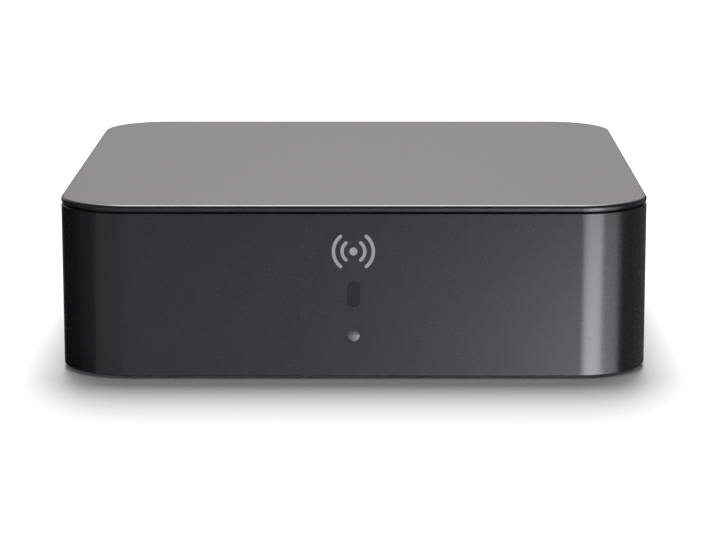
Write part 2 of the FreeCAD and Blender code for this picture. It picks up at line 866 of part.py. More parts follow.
def bay_surround():
    """The four walls of the bay, with two legs that stand on the tray."""
    body = new_body("bay_surround")
    outer = rounded("-bay_out_x", "bay_out_x", "bay_out_low", "bay_out_high", "bay_corner - fit_gap")
    pad(body, "XZ", "panel_out", "bay_mouth", outer)
    legs = [circle(f"{side}leg_x", "leg_y", "bay_leg_radius") for side in ("-", "")]
    pad(body, "XY", "tray_top", "bay_out_low + bay_wall / 2", *legs)
    inner = rounded("-bay_in_x", "bay_in_x", "bay_in_low", "bay_in_high", "bay_corner / 2")
    cut(body, "XZ", "panel_out - cut_over", "bay_mouth + cut_over", inner)
    pilots = [
        circle(f"{side}leg_x", "leg_y", "case_screw_radius + thread_gap") for side in ("-", "")
    ]
    cut(body, "XY", "tray_top - cut_over", "tray_top + bay_screw_bite", *pilots)
    keep(body)


def connector_panel():
    """The plate at the bay's inner end, with a cut-out for each socket and a row of vents."""
    body = new_body("connector_panel")
    plate = rounded("-bay_out_x", "bay_out_x", "bay_out_low", "bay_out_high", "bay_corner - fit_gap")
    pad(body, "XZ", "panel_in", "panel_out", plate)
    cut_low, cut_high = "panel_in - cut_over", "panel_out + cut_over"
    holes = [circle(x, z, "phono_collar_radius + panel_gap") for x, z in phono_places()]
    holes.append(circle("phono_middle_x", "phono_middle_z", "panel_screw_radius + screw_clearance"))
    holes.append(circle("jack_x", "jack_z", "jack_collar_radius + panel_gap"))
    holes.append(circle("button_x", "button_z", "button_radius + button_gap"))
    for socket, low in (
        ("network", "board_top"),
        ("bus", "board_top + bus_lift"),
        ("optical", "board_top"),
        ("inlet", "board_top"),
    ):
        half = f"({socket}_width / 2 + panel_gap)"
        high = f"{low} + {socket}_height + panel_gap"
        x = f"{socket}_x"
        holes.append(rectangle(f"{x} - {half}", f"{x} + {half}", f"{low} - panel_gap", high))
    cut(body, "XZ", cut_low, cut_high, *holes)
    first = "-bay_vent_pitch * (bay_vent_count - 1) / 2"
    side = "bay_vent_width / 2"
    slot = rectangle(f"{first} - {side}", f"{first} + {side}", "bay_vent_low", "bay_vent_high")
    vent = cut(body, "XZ", cut_low, cut_high, slot)
    repeat(body, vent, "X", "bay_vent_pitch", "bay_vent_count")
    keep(body)


def panel_screw():
    """The screw between the four phono sockets, which holds their block to the panel."""
    body = new_body("panel_screw")
    x, z = "phono_middle_x", "phono_middle_z"
    shank = circle(x, z, "panel_screw_radius")
    pad(body, "XZ", "panel_in - panel_screw_bite + thread_gap", "panel_out", shank)
    head = circle(x, z, "panel_screw_head_radius")
    pad(body, "XZ", "panel_out", "panel_out + panel_screw_head", head)
    keep(body)


def bay_screws():
    body = new_body("bay_screws")
    sides = [f"{side}leg_x" for side in ("-", "")]
    shanks = [circle(x, "leg_y", "case_screw_radius") for x in sides]
    pad(body, "XY", "head_top", "tray_top + bay_screw_bite - thread_gap", *shanks)
    heads = [circle(x, "leg_y", "case_screw_head_radius") for x in sides]
    pad(body, "XY", "foot_top", "head_top", *heads)
    keep(body)


# Front light, infrared eye and their board


def eye_outline(gap):
    """The infrared eye's upright slot, drawn out by a gap."""
    return rounded(
        f"-eye_width / 2 - ({gap})",
        f"eye_width / 2 + ({gap})",
        f"eye_z - eye_length / 2 - ({gap})",
        f"eye_z + eye_length / 2 + ({gap})",
        f"(eye_width + 2 * ({gap})) * slot_end",
    )


def light_pipe():
    body = new_body("light_pipe")
    stem_end = "light_chip_face - light_chip_gap"
    pad(body, "XZ", "lens_face", stem_end, circle("0", "light_z", "light_radius"))
    pad(body, "XZ", "front_inner", "lens_back", circle("0", "light_z", "light_radius + lens_rim"))
    keep(body)


def infrared_eye():
    body = new_body("infrared_eye")
    pad(body, "XZ", "lens_face", "lens_back", eye_outline("0"))
    pad(body, "XZ", "front_inner", "lens_back", eye_outline("lens_rim"))
    keep(body)


def front_board():
    body = new_body("front_board")
    half = "front_board_width / 2"
    outline = rounded(f"-{half}", half, "front_board_low", "front_board_high", "board_corner / 2")
    pad(body, "XZ", "front_board_y", "front_board_back", outline)
    holes = [
        circle(f"{side}front_post_x", "front_post_z", "front_screw_radius + screw_clearance")
        for side in ("-", "")
    ]
    cut(body, "XZ", "front_board_y - cut_over", "front_board_back + cut_over", *holes)
    keep(body)


def front_board_screws():
    body = new_body("front_board_screws")
    sides = [f"{side}front_post_x" for side in ("-", "")]
    head_end = "front_board_back + front_screw_head"
    shanks = [circle(x, "front_post_z", "front_screw_radius") for x in sides]
    pad(body, "XZ", "front_board_y - front_screw_bite + thread_gap", "front_board_back", *shanks)
    heads = [circle(x, "front_post_z", "front_screw_head_radius") for x in sides]
    pad(body, "XZ", "front_board_back", head_end, *heads)
    keep(body)


def status_light():
    half = "light_chip_width / 2"
    z = (f"light_z - {half}", f"light_z + {half}")
    keep(block("status_light", (f"-{half}", half), ("light_chip_face", "front_board_y"), z))


def infrared_receiver():
    """The receiver behind the eye: a small case with a dome that looks forwards."""
    half, rise = "receiver_width / 2", "receiver_height / 2"
    face = "front_board_y - receiver_depth"
    case = block(
        "receiver_case",
        (f"-{half}", half),
        (face, "front_board_y"),
        (f"eye_z - {rise}", f"eye_z + {rise}"),
    )
    dome = document.addObject("Part::Sphere", "receiver_dome")
    dome.setExpression("Radius", bind("receiver_dome"))
    dome.setExpression("Placement.Base.y", bind(f"{face} + receiver_dome / 3"))
    dome.setExpression("Placement.Base.z", bind("eye_z"))
    keep(join("infrared_receiver", case, dome))


# Heights at which the ribbon enters its two sockets
ribbon_high = "(front_post_z + ribbon_bend)"
ribbon_low = "(board_top + socket_height / 2)"


def ribbon_sockets():
    """One socket on the back of the front board, one at the front edge of the main board."""
    half = "socket_width / 2"
    upright = block(
        "ribbon_socket_front",
        (f"-{half}", half),
        ("front_board_back", "front_board_back + socket_height"),
        (f"{ribbon_high} - socket_depth / 2", f"{ribbon_high} + socket_depth / 2"),
    )
    lying = block(
        "ribbon_socket_main",
        (f"-{half}", half),
        ("board_front + socket_inset", "board_front + socket_inset + socket_depth"),
        ("board_top", "board_top + socket_height"),
    )
    keep(group("ribbon_sockets", upright, lying))


def ribbon():
    """A flat cable that leaves one socket level, drops between two bends and enters the other."""
    half_width = value("ribbon_width / 2")
    high = value(f"{ribbon_high} - ribbon_thickness / 2")
    low = value(f"{ribbon_low} - ribbon_thickness / 2")
    start, end = value("front_board_back + socket_height"), value("board_front + socket_inset")
    drop = start + value("ribbon_run + ribbon_bend")
    corners = [
        (-half_width, start, high),
        (-half_width, drop, high),
        (-half_width, drop, low),
        (-half_width, end, low),
    ]
    across = FreeCAD.Vector(2 * half_width, 0, 0)
    flat_cable("ribbon", corners, "ribbon_bend", "ribbon_thickness", across)


# Boards


def board(label, left, right, posts):
    """A board with rounded corners and a hole over each of its posts."""
    body = new_body(label)
    outline = rounded(left, right, "board_front", "board_back", "board_corner")
    pad(body, "XY", "board_low", "board_top", outline)
    holes = [circle(x, y, "board_screw_radius + screw_clearance") for x, y in posts]
    cut(body, "XY", "board_low - cut_over", "board_top + cut_over", *holes)
    keep(body)


def board_screws():
    body = new_body("board_screws")
    main, power = main_posts()
    shanks = [circle(x, y, "board_screw_radius") for x, y in main + power]
    pad(body, "XY", "board_low - board_screw_bite + thread_gap", "board_top", *shanks)
    heads = [circle(x, y, "board_screw_head_radius") for x, y in main + power]
    pad(body, "XY", "board_top", "board_top + board_screw_head", *heads)
    keep(body)


# Phono sockets


def phono_places():
    """Centres of the four phono sockets as seen on the panel."""
    return [
        (x, z)
        for x in ("phono_outer_x", "phono_inner_x")
        for z in ("phono_low_z", "phono_high_z")
    ]


def phono_block():
    """One moulded block with four round collars that pass through the panel."""
    body = new_body("phono_block")
    left, right = "phono_inner_x - phono_block_side", "phono_outer_x + phono_block_side"
    frame = rectangle(left, right, "board_top", "phono_high_z + phono_block_top")
    pad(body, "XZ", "phono_back", "panel_in", frame)
    collars = [circle(x, z, "phono_collar_radius") for x, z in phono_places()]
    pad(body, "XZ", "panel_in", "panel_out + phono_collar", *collars)
    bores = [circle(x, z, "phono_radius - phono_neck") for x, z in phono_places()]
    cut(body, "XZ", "panel_in", "panel_out + phono_collar + cut_over", *bores)
    pilot = circle("phono_middle_x", "phono_middle_z", "panel_screw_radius + thread_gap")
    cut(body, "XZ", "panel_in - panel_screw_bite", "panel_in + cut_over", pilot)
    keep(body)


def phono_barrels():
    """Plated barrels, each a little narrower where its collar holds it."""
    body = new_body("phono_barrels")
    collar_end = "panel_out + phono_collar"
    for low, high, outer in (
        ("panel_in", collar_end, "phono_radius - phono_neck"),
        (collar_end, "phono_end", "phono_radius"),
    ):
        rings = []
        for x, z in phono_places():
            rings += [circle(x, z, outer), circle(x, z, "phono_radius - phono_wall")]
        pad(body, "XZ", low, high, *rings)
    keep(body)


def phono_inserts(label, height):
    """The coloured insulators of one row, with the hole for the plug's pin."""
    body = new_body(label)
    discs = []
    for x in ("phono_outer_x", "phono_inner_x"):
        discs.append(circle(x, height, "phono_radius - phono_wall"))
        discs.append(circle(x, height, "phono_pin_radius + phono_pin_wall"))
    pad(body, "XZ", "panel_in", "phono_end - phono_insert_setback", *discs)
    keep(body)


def phono_contacts():
    body = new_body("phono_contacts")
    rings = []
    for x, z in phono_places():
        rings += [circle(x, z, "phono_pin_radius + phono_pin_wall"), circle(x, z, "phono_pin_radius")]
    pad(body, "XZ", "panel_in", "phono_end - phono_pin_setback", *rings)
    keep(body)


# Network socket


def network_mouth():
    """The plug's way in: a wide mouth over the narrower slot for the latch."""
    half, latch = "network_mouth_width / 2", "network_latch_width / 2"
    low = "board_top + network_mouth_low"
    high = f"{low} + network_mouth_height"
    floor = f"{low} - network_latch_height"
    x = "network_x"
    return polygon(
        (f"{x} - {latch}", floor),
        (f"{x} + {latch}", floor),
        (f"{x} + {latch}", low),
        (f"{x} + {half}", low),
        (f"{x} + {half}", high),
        (f"{x} - {half}", high),
        (f"{x} - {half}", low),
        (f"{x} - {latch}", low),
    )


def network_frame(inset):
    half = f"network_width / 2 - ({inset})"
    return rectangle(
        f"network_x - ({half})",
        f"network_x + ({half})",
        "board_top",
        f"board_top + network_height - ({inset})",
    )


def network_socket():
    body = new_body("network_socket")
    back = "face_y - network_depth"
    pad(body, "XZ", back, "face_y - network_shield", network_frame("network_shield"))
    cut(body, "XZ", "face_y - network_mouth_depth", "face_y + cut_over", network_mouth())
    keep(body)


def network_shield():
    """A folded tin cover over the top, the sides and the face, open at the mouth and below."""
    body = new_body("network_shield")
    back = "face_y - network_depth"
    pad(body, "XZ", back, "face_y", network_frame("0"))
    cut(body, "XZ", back + " - cut_over", "face_y - network_shield", network_frame("network_shield"))
    cut(body, "XZ", "face_y - network_shield - cut_over", "face_y + cut_over", network_mouth())
    keep(body)


def network_contacts():
    """Springy contacts that slant down from the roof of the mouth."""
    body = new_body("network_contacts")
    high = "board_top + network_mouth_low + network_mouth_height"
    back = "face_y - network_mouth_depth"
    thick, tip = "network_contact", f"{back} + network_contact_length"
    profile = polygon(
        (back, high),
        (back, f"{high} - {thick} - network_contact_drop"),
        (f"{back} + {thick}", f"{high} - {thick} - network_contact_drop"),
        (tip, f"{high} - {thick}"),
        (tip, high),
        (f"{tip} - {thick}", high),
        (f"{back} + {thick}", f"{high} - network_contact_drop"),
        (f"{back} + {thick}", high),
    )
    first = f"network_x - network_contact_pitch * (network_contact_count - 1) / 2 - {thick} / 2"
    contact = pad(body, "YZ", first, f"{first} + {thick}", profile)
    repeat(body, contact, "X", "network_contact_pitch", "network_contact_count")
    keep(body)


# Serial bus socket, standing upright


def bus_shell():
    body = new_body("bus_shell")
    half, low = "bus_width / 2", "board_top + bus_lift"
    high = f"{low} + bus_height"
    outer = rectangle(f"bus_x - {half}", f"bus_x + {half}", low, high)
    pad(body, "XZ", "face_y - bus_depth", "face_y", outer)
    inner = rectangle(
        f"bus_x - {half} + bus_shell",
        f"bus_x + {half} - bus_shell",
        f"{low} + bus_shell",
        f"{high} - bus_shell",
    )
    cut(body, "XZ", "face_y - bus_depth + bus_shell", "face_y + cut_over", inner)
    keep(body)


def bus_tongue():
    """The plastic tongue inside the shell, on a block that fills the shell's back end."""
    side, low = "bus_x - bus_width / 2 + bus_shell", "board_top + bus_lift + bus_shell"
    far, high = "bus_x + bus_width / 2 - bus_shell", "board_top + bus_lift + bus_height - bus_shell"
    back = "face_y - bus_depth + bus_shell"
    plug_end = f"{back} + 2 * bus_shell"
    foot = block("bus_tongue_foot", (side, far), (back, plug_end), (low, high))
    blade = block(
        "bus_tongue_blade",
        (f"{side} + bus_tongue_side", f"{side} + bus_tongue_side + bus_tongue"),
        (plug_end, "face_y - bus_tongue_setback"),
        (f"{low} + bus_tongue_margin", f"{high} - bus_tongue_margin"),
    )
    keep(join("bus_tongue", foot, blade))


# Optical socket


def optical_socket():
    """A moulded block with a square mouth, a roof recess for the open flap and two pin holes."""
    body = new_body("optical_socket")
    half, mouth = "optical_width / 2", "optical_mouth / 2"
    frame = rectangle(
        f"optical_x - {half}", f"optical_x + {half}", "board_top", "board_top + optical_height"
    )
    pad(body, "XZ", "face_y - optical_depth", "face_y", frame)
    left, right = f"optical_x - {mouth}", f"optical_x + {mouth}"
    opening = rectangle(left, right, "optical_low", "optical_high")
    cut(body, "XZ", "optical_end", "face_y + cut_over", opening)
    recess = rectangle(left, right, "optical_high - flap_gap", "optical_high + optical_roof")
    cut(body, "XZ", "optical_end", "flap_face + flap_gap", recess)
    reach = f"{mouth} + flap_pin_length + flap_gap"
    pivots = circle("flap_pin_y", "flap_pin_z", "flap_pin_radius + flap_pin_gap")
    cut(body, "YZ", f"optical_x - ({reach})", f"optical_x + {reach}", pivots)
    keep(body)


def optical_flap():
    """The little door that shuts the mouth, with its two pins."""
    body = new_body("optical_flap")
    half = "optical_mouth / 2 - flap_gap"
    left, right = f"optical_x - ({half})", f"optical_x + {half}"
    face = rectangle(left, right, "optical_low + flap_gap", "flap_pin_z")
    pad(body, "XZ", "flap_face - flap_thickness", "flap_face", face)
    pad(body, "YZ", left, right, circle("flap_pin_y", "flap_pin_z", "flap_thickness / 2"))
    pins = circle("flap_pin_y", "flap_pin_z", "flap_pin_radius - flap_pin_gap")
    reach = "optical_mouth / 2 + flap_pin_length"
    pad(body, "YZ", f"optical_x - ({reach})", f"optical_x + {reach}", pins)
    keep(body)


def optical_emitter():
    """The light that looks out through the mouth."""
    middle = "optical_low + optical_mouth / 2"
    start = ("optical_x", "optical_end", middle)
    keep(rod("optical_emitter", "Y", start, "optical_eye_length", "optical_eye_radius"))


# Trigger jack and setup button


def trigger_jack():
    body = new_body("trigger_jack")
    half = "jack_width / 2"
    frame = rectangle(f"jack_x - {half}", f"jack_x + {half}", "board_top", "board_top + jack_height")
    pad(body, "XZ", "panel_in - jack_depth", "panel_in", frame)
    pad(body, "XZ", "panel_in", "face_y", circle("jack_x", "jack_z", "jack_collar_radius"))
    bore = circle("jack_x", "jack_z", "jack_bore_radius")
    cut(body, "XZ", "face_y - jack_bore_depth", "face_y + cut_over", bore)
    keep(body)


def setup_button():
    """The key that shows on the panel, with the flange that keeps it in and its plunger."""
    body = new_body("setup_button")
    x, z = "button_x", "button_z"
    pad(body, "XZ", "flange_out", "button_end", circle(x, z, "button_radius"))
    flange = circle(x, z, "button_radius + button_gap + button_flange_rim")
    pad(body, "XZ", "flange_in", "flange_out", flange)
    pad(body, "XZ", "plunger_end", "flange_in", circle(x, z, "plunger_radius"))
    keep(body)


def setup_switch():
    """The switch that the key works: a case open at the front, where the plunger slides in."""
    body = new_body("setup_switch")
    half = "switch_width / 2"
    frame = rectangle(
        f"button_x - {half}", f"button_x + {half}", "board_top", "board_top + switch_height"
    )
    pad(body, "XZ", "switch_face - switch_depth - button_travel - switch_slack", "switch_face", frame)
    bore = circle("button_x", "button_z", "plunger_radius + screw_clearance")
    cut(body, "XZ", "plunger_end - button_travel - switch_slack", "switch_face + cut_over", bore)
    keep(body)


# Mains inlet


def inlet_socket():
    """A moulded inlet whose mouth is two round lobes joined by a neck."""
    body = new_body("inlet_socket")
    half, pitch = "inlet_width / 2", "inlet_pitch / 2"
    frame = rectangle(
        f"inlet_x - {half}", f"inlet_x + {half}", "board_top", "board_top + inlet_height"
    )
    pad(body, "XZ", "face_y - inlet_depth", "face_y", frame)
    back = "face_y - inlet_mouth_depth"
    for side in ("-", "+"):
        lobe = circle(f"inlet_x {side} {pitch}", "inlet_z", "inlet_lobe_radius")
        cut(body, "XZ", back, "face_y + cut_over", lobe)
    neck = rectangle(
        f"inlet_x - {pitch}",
        f"inlet_x + {pitch}",
        "inlet_z - inlet_neck / 2",
        "inlet_z + inlet_neck / 2",
    )
    cut(body, "XZ", back, "face_y + cut_over", neck)
    keep(body)


def inlet_pins():
    body = new_body("inlet_pins")
    pins = [
        circle(f"inlet_x {side} inlet_pitch / 2", "inlet_z", "inlet_pin_radius") for side in ("-", "+")
    ]
    back = "face_y - inlet_mouth_depth"
    tip = f"{back} + inlet_pin_length"
    pad(body, "XZ", back, tip, *pins)
    dress(body, "Chamfer", "inlet_pin_radius / 3", lambda e: e.BoundBox.YMin > value(tip) - 1e-4)
    keep(body)


# Main board parts


def centred(x, y, width, depth):
    """Low and high places on x and y of a box about a centre."""
    return (f"{x} - {width} / 2", f"{x} + {width} / 2"), (f"{y} - {depth} / 2", f"{y} + {depth} / 2")


def processor():
    x, y = centred("processor_x", "processor_y", "processor_side", "processor_side")
    top = "board_top + processor_thickness"
    keep(block("processor", x, y, ("board_top", top)))
    keep(block("thermal_pad", x, y, (top, "sink_low")))


def heat_sink():
    """An extruded sink: a base plate with upright fins and two legs down to the board."""
    body = new_body("heat_sink")
    half, deep = "sink_width / 2", "sink_depth / 2"
    left, right = f"processor_x - {half}", f"processor_x + {half}"
    base_top = "sink_low + sink_base"
    outline = rectangle(left, right, "sink_low", base_top)
    front, back = f"processor_y - {deep}", f"processor_y + {deep}"
    pad(body, "XZ", front, back, outline)
    fin_side, fin_top = f"{left} + sink_fin_thickness", f"{base_top} + sink_fin_height"
    fin = pad(body, "XZ", front, back, rectangle(left, fin_side, base_top, fin_top))
    step = "(sink_width - sink_fin_thickness) / (sink_fin_count - 1)"
    repeat(body, fin, "X", step, "sink_fin_count")
    legs = [
        rectangle(left, f"{left} + sink_leg", "board_top", "sink_low"),
        rectangle(f"{right} - sink_leg", right, "board_top", "sink_low"),
    ]
    pad(body, "XZ", "processor_y - sink_leg / 2", "processor_y + sink_leg / 2", *legs)
    keep(body)


def wireless_module():
    x, y = centred("radio_x", "radio_y", "radio_width", "radio_depth")
    low = "board_top + radio_lift"
    card = block("radio_card", x, y, (low, f"{low} + radio_thickness"))
    pads = block("radio_pads", x, (y[0], f"{y[0]} + radio_can"), ("board_top", low))
    keep(join("wireless_module", card, pads))
    can_width = "(radio_width - 2 * radio_can_margin)"
    can_depth = "(radio_depth - 6 * radio_can_margin)"
    x, y = centred("radio_x", "radio_y", can_width, can_depth)
    low = f"{low} + radio_thickness"
    keep(block("wireless_shield", x, y, (low, f"{low} + radio_can")))


def aerials():
    """Two flat aerials stuck to the inside of the side walls."""
    y = ("-aerial_y - aerial_length / 2", "-aerial_y + aerial_length / 2")
    z = ("aerial_z", "aerial_z + aerial_height")
    left = block("aerial_left", ("-inner_x", "-inner_x + aerial_thickness"), y, z)
    right = block("aerial_right", ("inner_x - aerial_thickness", "inner_x"), y, z)
    keep(group("aerials", left, right))


def lead(corners, radius):
    """A round lead along a path: its section drawn along each run and turned round each bend."""
    path = rounded_path(corners)
    pieces = []
    for edge in path.OrderedEdges:
        start, end = edge.valueAt(edge.FirstParameter), edge.valueAt(edge.LastParameter)
        ahead = edge.tangentAt(edge.FirstParameter)
        section = Part.Face(Part.Wire(Part.makeCircle(radius, start, ahead)))
        if isinstance(edge.Curve, Part.Circle):
            turn = math.degrees(edge.Length / edge.Curve.Radius)
            pieces.append(section.revolve(edge.Curve.Center, edge.Curve.Axis, turn))
        else:
            pieces.append(section.extrude(end - start))
    solid = pieces[0].fuse(pieces[1:]).removeSplitter()
    if abs(solid.Volume / (math.pi * radius**2 * path.Length) - 1) > volume_slack:
        raise ValueError("a lead's volume is not its section times its length")
    return solid


def aerial_leads():
    """Two thin coaxial leads from the wireless module to the aerials on the side walls."""
    radius, step = value("lead_radius"), value("lead_step")
    height = value("board_top + radio_lift + radio_thickness") + radius
    over, front = value("lead_height"), value("front_board_back + lead_front_gap")
    start_y = value("radio_y - radio_depth / 2")
    near = value("radio_x + radio_width / 2") - step / 2
    far = value("radio_x - radio_width / 2") + step
    wall = value("inner_x - aerial_thickness") - radius
    corner = value("pillar_x - pillar_radius") - 2 * step
    end_y = value("-aerial_y - aerial_length / 2") + step
    end_z = value("aerial_z + aerial_height / 2")
    short = [
        (near, start_y + step, height),
        (near + step, start_y - step, height + step),
        (wall, start_y + step, over + step),
        (wall, end_y, end_z),
    ]
    long = [
        (far, start_y + step, height),
        (far - step, start_y - 3 * step, over),
        (far - 6 * step, front, over + 3 * step),
        (-corner, front + step, over + 2 * step),
        (-wall, front + 7 * step, end_z),
        (-wall, end_y, end_z + step / 8),
    ]
    leads = document.addObject("Part::Feature", "aerial_leads")
    leads.Shape = Part.makeCompound([lead(short, radius), lead(long, radius)])
    keep(leads)


def signal_chips():
    """Flat chips in a row behind the sockets that they serve."""
    z = ("board_top", "board_top + chip_thickness")
    chips = []
    for number, middle in enumerate(("phono_outer_x", "phono_inner_x", "network_x")):
        x, y = centred(middle, "chip_y", "chip_side", "chip_side")
        chips.append(block(f"signal_chip_{number}", x, y, z))
    keep(group("signal_chips", *chips))


def filter_capacitors():
    cans = []
    for number in range(whole("filter_count")):
        x = f"optical_x + ({number} - filter_before) * filter_pitch"
        start = (x, "filter_y", "board_top")
        cans.append(rod(f"filter_can_{number}", "Z", start, "filter_height", "filter_radius"))
    keep(group("filter_capacitors", *cans))


# Power board parts


def transformer():
    """A core with a window through it, and the winding that fills the window."""
    x, y = centred("transformer_x", "transformer_y", "transformer_width", "transformer_depth")
    low, high = "board_top + winding_margin", "board_top + transformer_height"
    limb = "transformer_core"
    yoke_y = (f"{y[0]} + winding_margin", f"{y[1]} - winding_margin")
    yoke = block("transformer_yoke", x, yoke_y, (low, high))
    room_x = (f"{x[0]} + {limb}", f"{x[1]} - {limb}")
    room = block("transformer_room", room_x, y, (f"{low} - cut_over", f"{high} - {limb}"))
    keep(minus("transformer_core", yoke, room))
    coil_x = (f"{room_x[0]} + fit_gap", f"{room_x[1]} - fit_gap")
    coil_z = ("board_top", f"{high} - {limb} - fit_gap")
    keep(block("transformer_winding", coil_x, y, coil_z))


def mains_filter():
    """The boxed suppressor behind the inlet, and the choke."""
    x, y = centred("inlet_x", "suppressor_y", "suppressor_width", "suppressor_depth")
    keep(block("suppressor", x, y, ("board_top", "board_top + suppressor_height")))
    x, y = centred("choke_x", "choke_y", "choke_width", "choke_depth")
    keep(block("mains_choke", x, y, ("board_top", "board_top + choke_height")))


def reservoir():
    start = ("reservoir_x", "reservoir_y", "board_top")
    keep(rod("reservoir_capacitor", "Z", start, "reservoir_height", "reservoir_radius"))


def fuse():
    start = ("fuse_x", "fuse_low_y", "board_top + fuse_lift + fuse_radius")
    glass = rod("fuse_body", "Y", start, "fuse_length", "fuse_radius")
    clips = [
        block(
            f"fuse_clip_{number}",
            ("fuse_x - fuse_radius", "fuse_x + fuse_radius"),
            (f"fuse_low_y + {offset}", f"fuse_low_y + {offset} + fuse_radius"),
            ("board_top", start[2]),
        )
        for number, offset in enumerate(("0", "fuse_length - fuse_radius"))
    ]
    keep(join("fuse", glass, *clips))


def power_sink():
    """A plate that stands on the power board beside the transformer."""
    x, y = centred("power_sink_x", "transformer_y", "power_sink_thickness", "power_sink_length")
    keep(block("power_heat_sink", x, y, ("board_top", "board_top + power_sink_height")))


def smoothing_capacitors():
    cans = []
    for number, side in enumerate(("- 0.5", "+ 0.5")):
        start = (f"smoother_x {side} * smoother_pitch", "smoother_y", "board_top")
        cans.append(rod(f"smoothing_can_{number}", "Z", start, "smoother_height", "smoother_radius"))
    keep(group("smoothing_capacitors", *cans))


def supply_headers():
    """The two headers that the supply harness plugs into, one each side of the gap."""
    y = ("header_y - header_width / 2", "header_y + header_width / 2")
    z = ("board_top", "board_top + header_height")
    power = block("supply_header_power", ("header_left", "header_left + header_depth"), y, z)
    main = block("supply_header_main", ("header_right - header_depth", "header_right"), y, z)
    keep(group("supply_headers", power, main))


def supply_harness():
    """A flat cable that rises from one header, crosses the gap and drops into the other."""
    low = value("board_top + header_height")
    high = low + value("harness_rise")
    left, right = value("header_left + header_depth / 2"), value("header_right - header_depth / 2")
    width = value("harness_width")
    y = value("header_y") - width / 2
    corners = [(left, y, low), (left, y, high), (right, y, high), (right, y, low)]
    across = FreeCAD.Vector(0, width, 0)
    flat_cable("supply_harness", corners, "harness_bend", "harness_thickness", across)


def insulation_sheet():
    """A thin sheet under the power board, held by the posts that pass through it."""
    body = new_body("insulation_sheet")
    outline = rounded(
        "-board_x + sheet_margin",
        "power_right - sheet_margin",
        "board_front + sheet_margin",
        "board_back - sheet_margin",
        "board_corner",
    )
    holes = [circle(x, y, "post_radius + sheet_post_gap") for x, y in main_posts()[1]]
    pad(body, "XY", "sheet_low", "sheet_low + sheet_thickness", outline, *holes)
    keep(body)


def build():
    sleeve()
    top_cover()
    base_tray()
    rubber_feet()
    case_screws()
    bay_surround()
    connector_panel()
    panel_screw()
    bay_screws()
    light_pipe()
    infrared_eye()
    front_board()
    front_board_screws()
    status_light()
    infrared_receiver()
    ribbon_sockets()
    ribbon()
    main, power = main_posts()
    board("main_board", "main_left", "board_x", main)
    board("power_board", "-board_x", "power_right", power)
    board_screws()
    phono_block()
    phono_barrels()
    phono_inserts("phono_inserts_white", "phono_high_z")
    phono_inserts("phono_inserts_red", "phono_low_z")
    phono_contacts()
    network_socket()
    network_shield()
    network_contacts()
    bus_shell()
    bus_tongue()
    optical_socket()
    optical_flap()
    optical_emitter()
    trigger_jack()
    setup_button()
    setup_switch()
    inlet_socket()
    inlet_pins()
    processor()
    heat_sink()
    wireless_module()
    aerials()
    aerial_leads()
    signal_chips()
    filter_capacitors()
    transformer()
    mains_filter()
    reservoir()
    fuse()
    power_sink()
    smoothing_capacitors()
    supply_headers()
    supply_harness()
    insulation_sheet()


# The least volume that a pocket takes away, in cubic millimetres
least_cut = 1e-6


def write_parts():
    """Checks every object and writes each sub-part's solids to its own file."""
    document.recompute()
    for item in document.Objects:
        if "Invalid" in item.State or "Error" in item.State:
            raise ValueError(f"{item.Label} failed: {item.State}")
    for pocket in document.findObjects("PartDesign::Pocket"):
        if pocket.Shape.Volume > pocket.BaseFeature.Shape.Volume - least_cut:
            raise ValueError(f"{pocket.Label} cuts nothing")
    os.makedirs("parts", exist_ok=True)
    for item in subparts:
        shape = item.Shape
        if shape.isNull() or not shape.isValid() or not shape.Solids:
            raise ValueError(f"{item.Label} has no valid shape")
        shape.exportStep(f"parts/{item.Label}.step")
    print(f"{len(subparts)} sub-parts written")


build()
write_parts()
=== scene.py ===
import json
import math
import random

import bmesh
import bpy
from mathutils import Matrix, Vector

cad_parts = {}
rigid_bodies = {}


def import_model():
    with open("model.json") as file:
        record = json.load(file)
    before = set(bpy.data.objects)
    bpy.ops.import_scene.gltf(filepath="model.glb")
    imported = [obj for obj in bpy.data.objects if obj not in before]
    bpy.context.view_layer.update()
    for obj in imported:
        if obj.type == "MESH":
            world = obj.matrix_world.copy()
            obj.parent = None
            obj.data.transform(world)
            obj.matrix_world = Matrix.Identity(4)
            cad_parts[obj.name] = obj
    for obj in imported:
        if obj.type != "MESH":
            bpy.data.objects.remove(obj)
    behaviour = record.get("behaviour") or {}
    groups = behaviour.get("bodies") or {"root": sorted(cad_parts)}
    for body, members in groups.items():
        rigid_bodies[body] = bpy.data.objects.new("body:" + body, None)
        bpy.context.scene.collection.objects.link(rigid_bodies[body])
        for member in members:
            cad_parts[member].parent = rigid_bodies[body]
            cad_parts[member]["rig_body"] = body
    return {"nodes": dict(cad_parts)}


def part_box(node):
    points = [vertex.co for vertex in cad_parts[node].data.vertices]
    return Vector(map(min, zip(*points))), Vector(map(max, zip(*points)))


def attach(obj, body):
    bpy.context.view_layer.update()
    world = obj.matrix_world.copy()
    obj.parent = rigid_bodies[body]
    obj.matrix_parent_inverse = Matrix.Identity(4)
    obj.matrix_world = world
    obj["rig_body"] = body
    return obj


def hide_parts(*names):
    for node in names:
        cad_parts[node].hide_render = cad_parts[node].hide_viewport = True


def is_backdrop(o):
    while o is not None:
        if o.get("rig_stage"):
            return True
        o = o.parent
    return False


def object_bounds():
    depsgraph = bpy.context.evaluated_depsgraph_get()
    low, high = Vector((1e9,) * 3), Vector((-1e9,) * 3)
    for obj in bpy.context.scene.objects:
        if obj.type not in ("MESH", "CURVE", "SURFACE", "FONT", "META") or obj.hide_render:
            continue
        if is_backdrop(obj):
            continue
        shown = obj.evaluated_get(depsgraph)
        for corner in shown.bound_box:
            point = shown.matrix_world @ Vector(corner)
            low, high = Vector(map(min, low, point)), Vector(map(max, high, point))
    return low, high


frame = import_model()
cadLow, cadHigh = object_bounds()
cadNodes = frame["nodes"]
mm = 0.001
print("frame loaded:", len(cadNodes), "nodes")


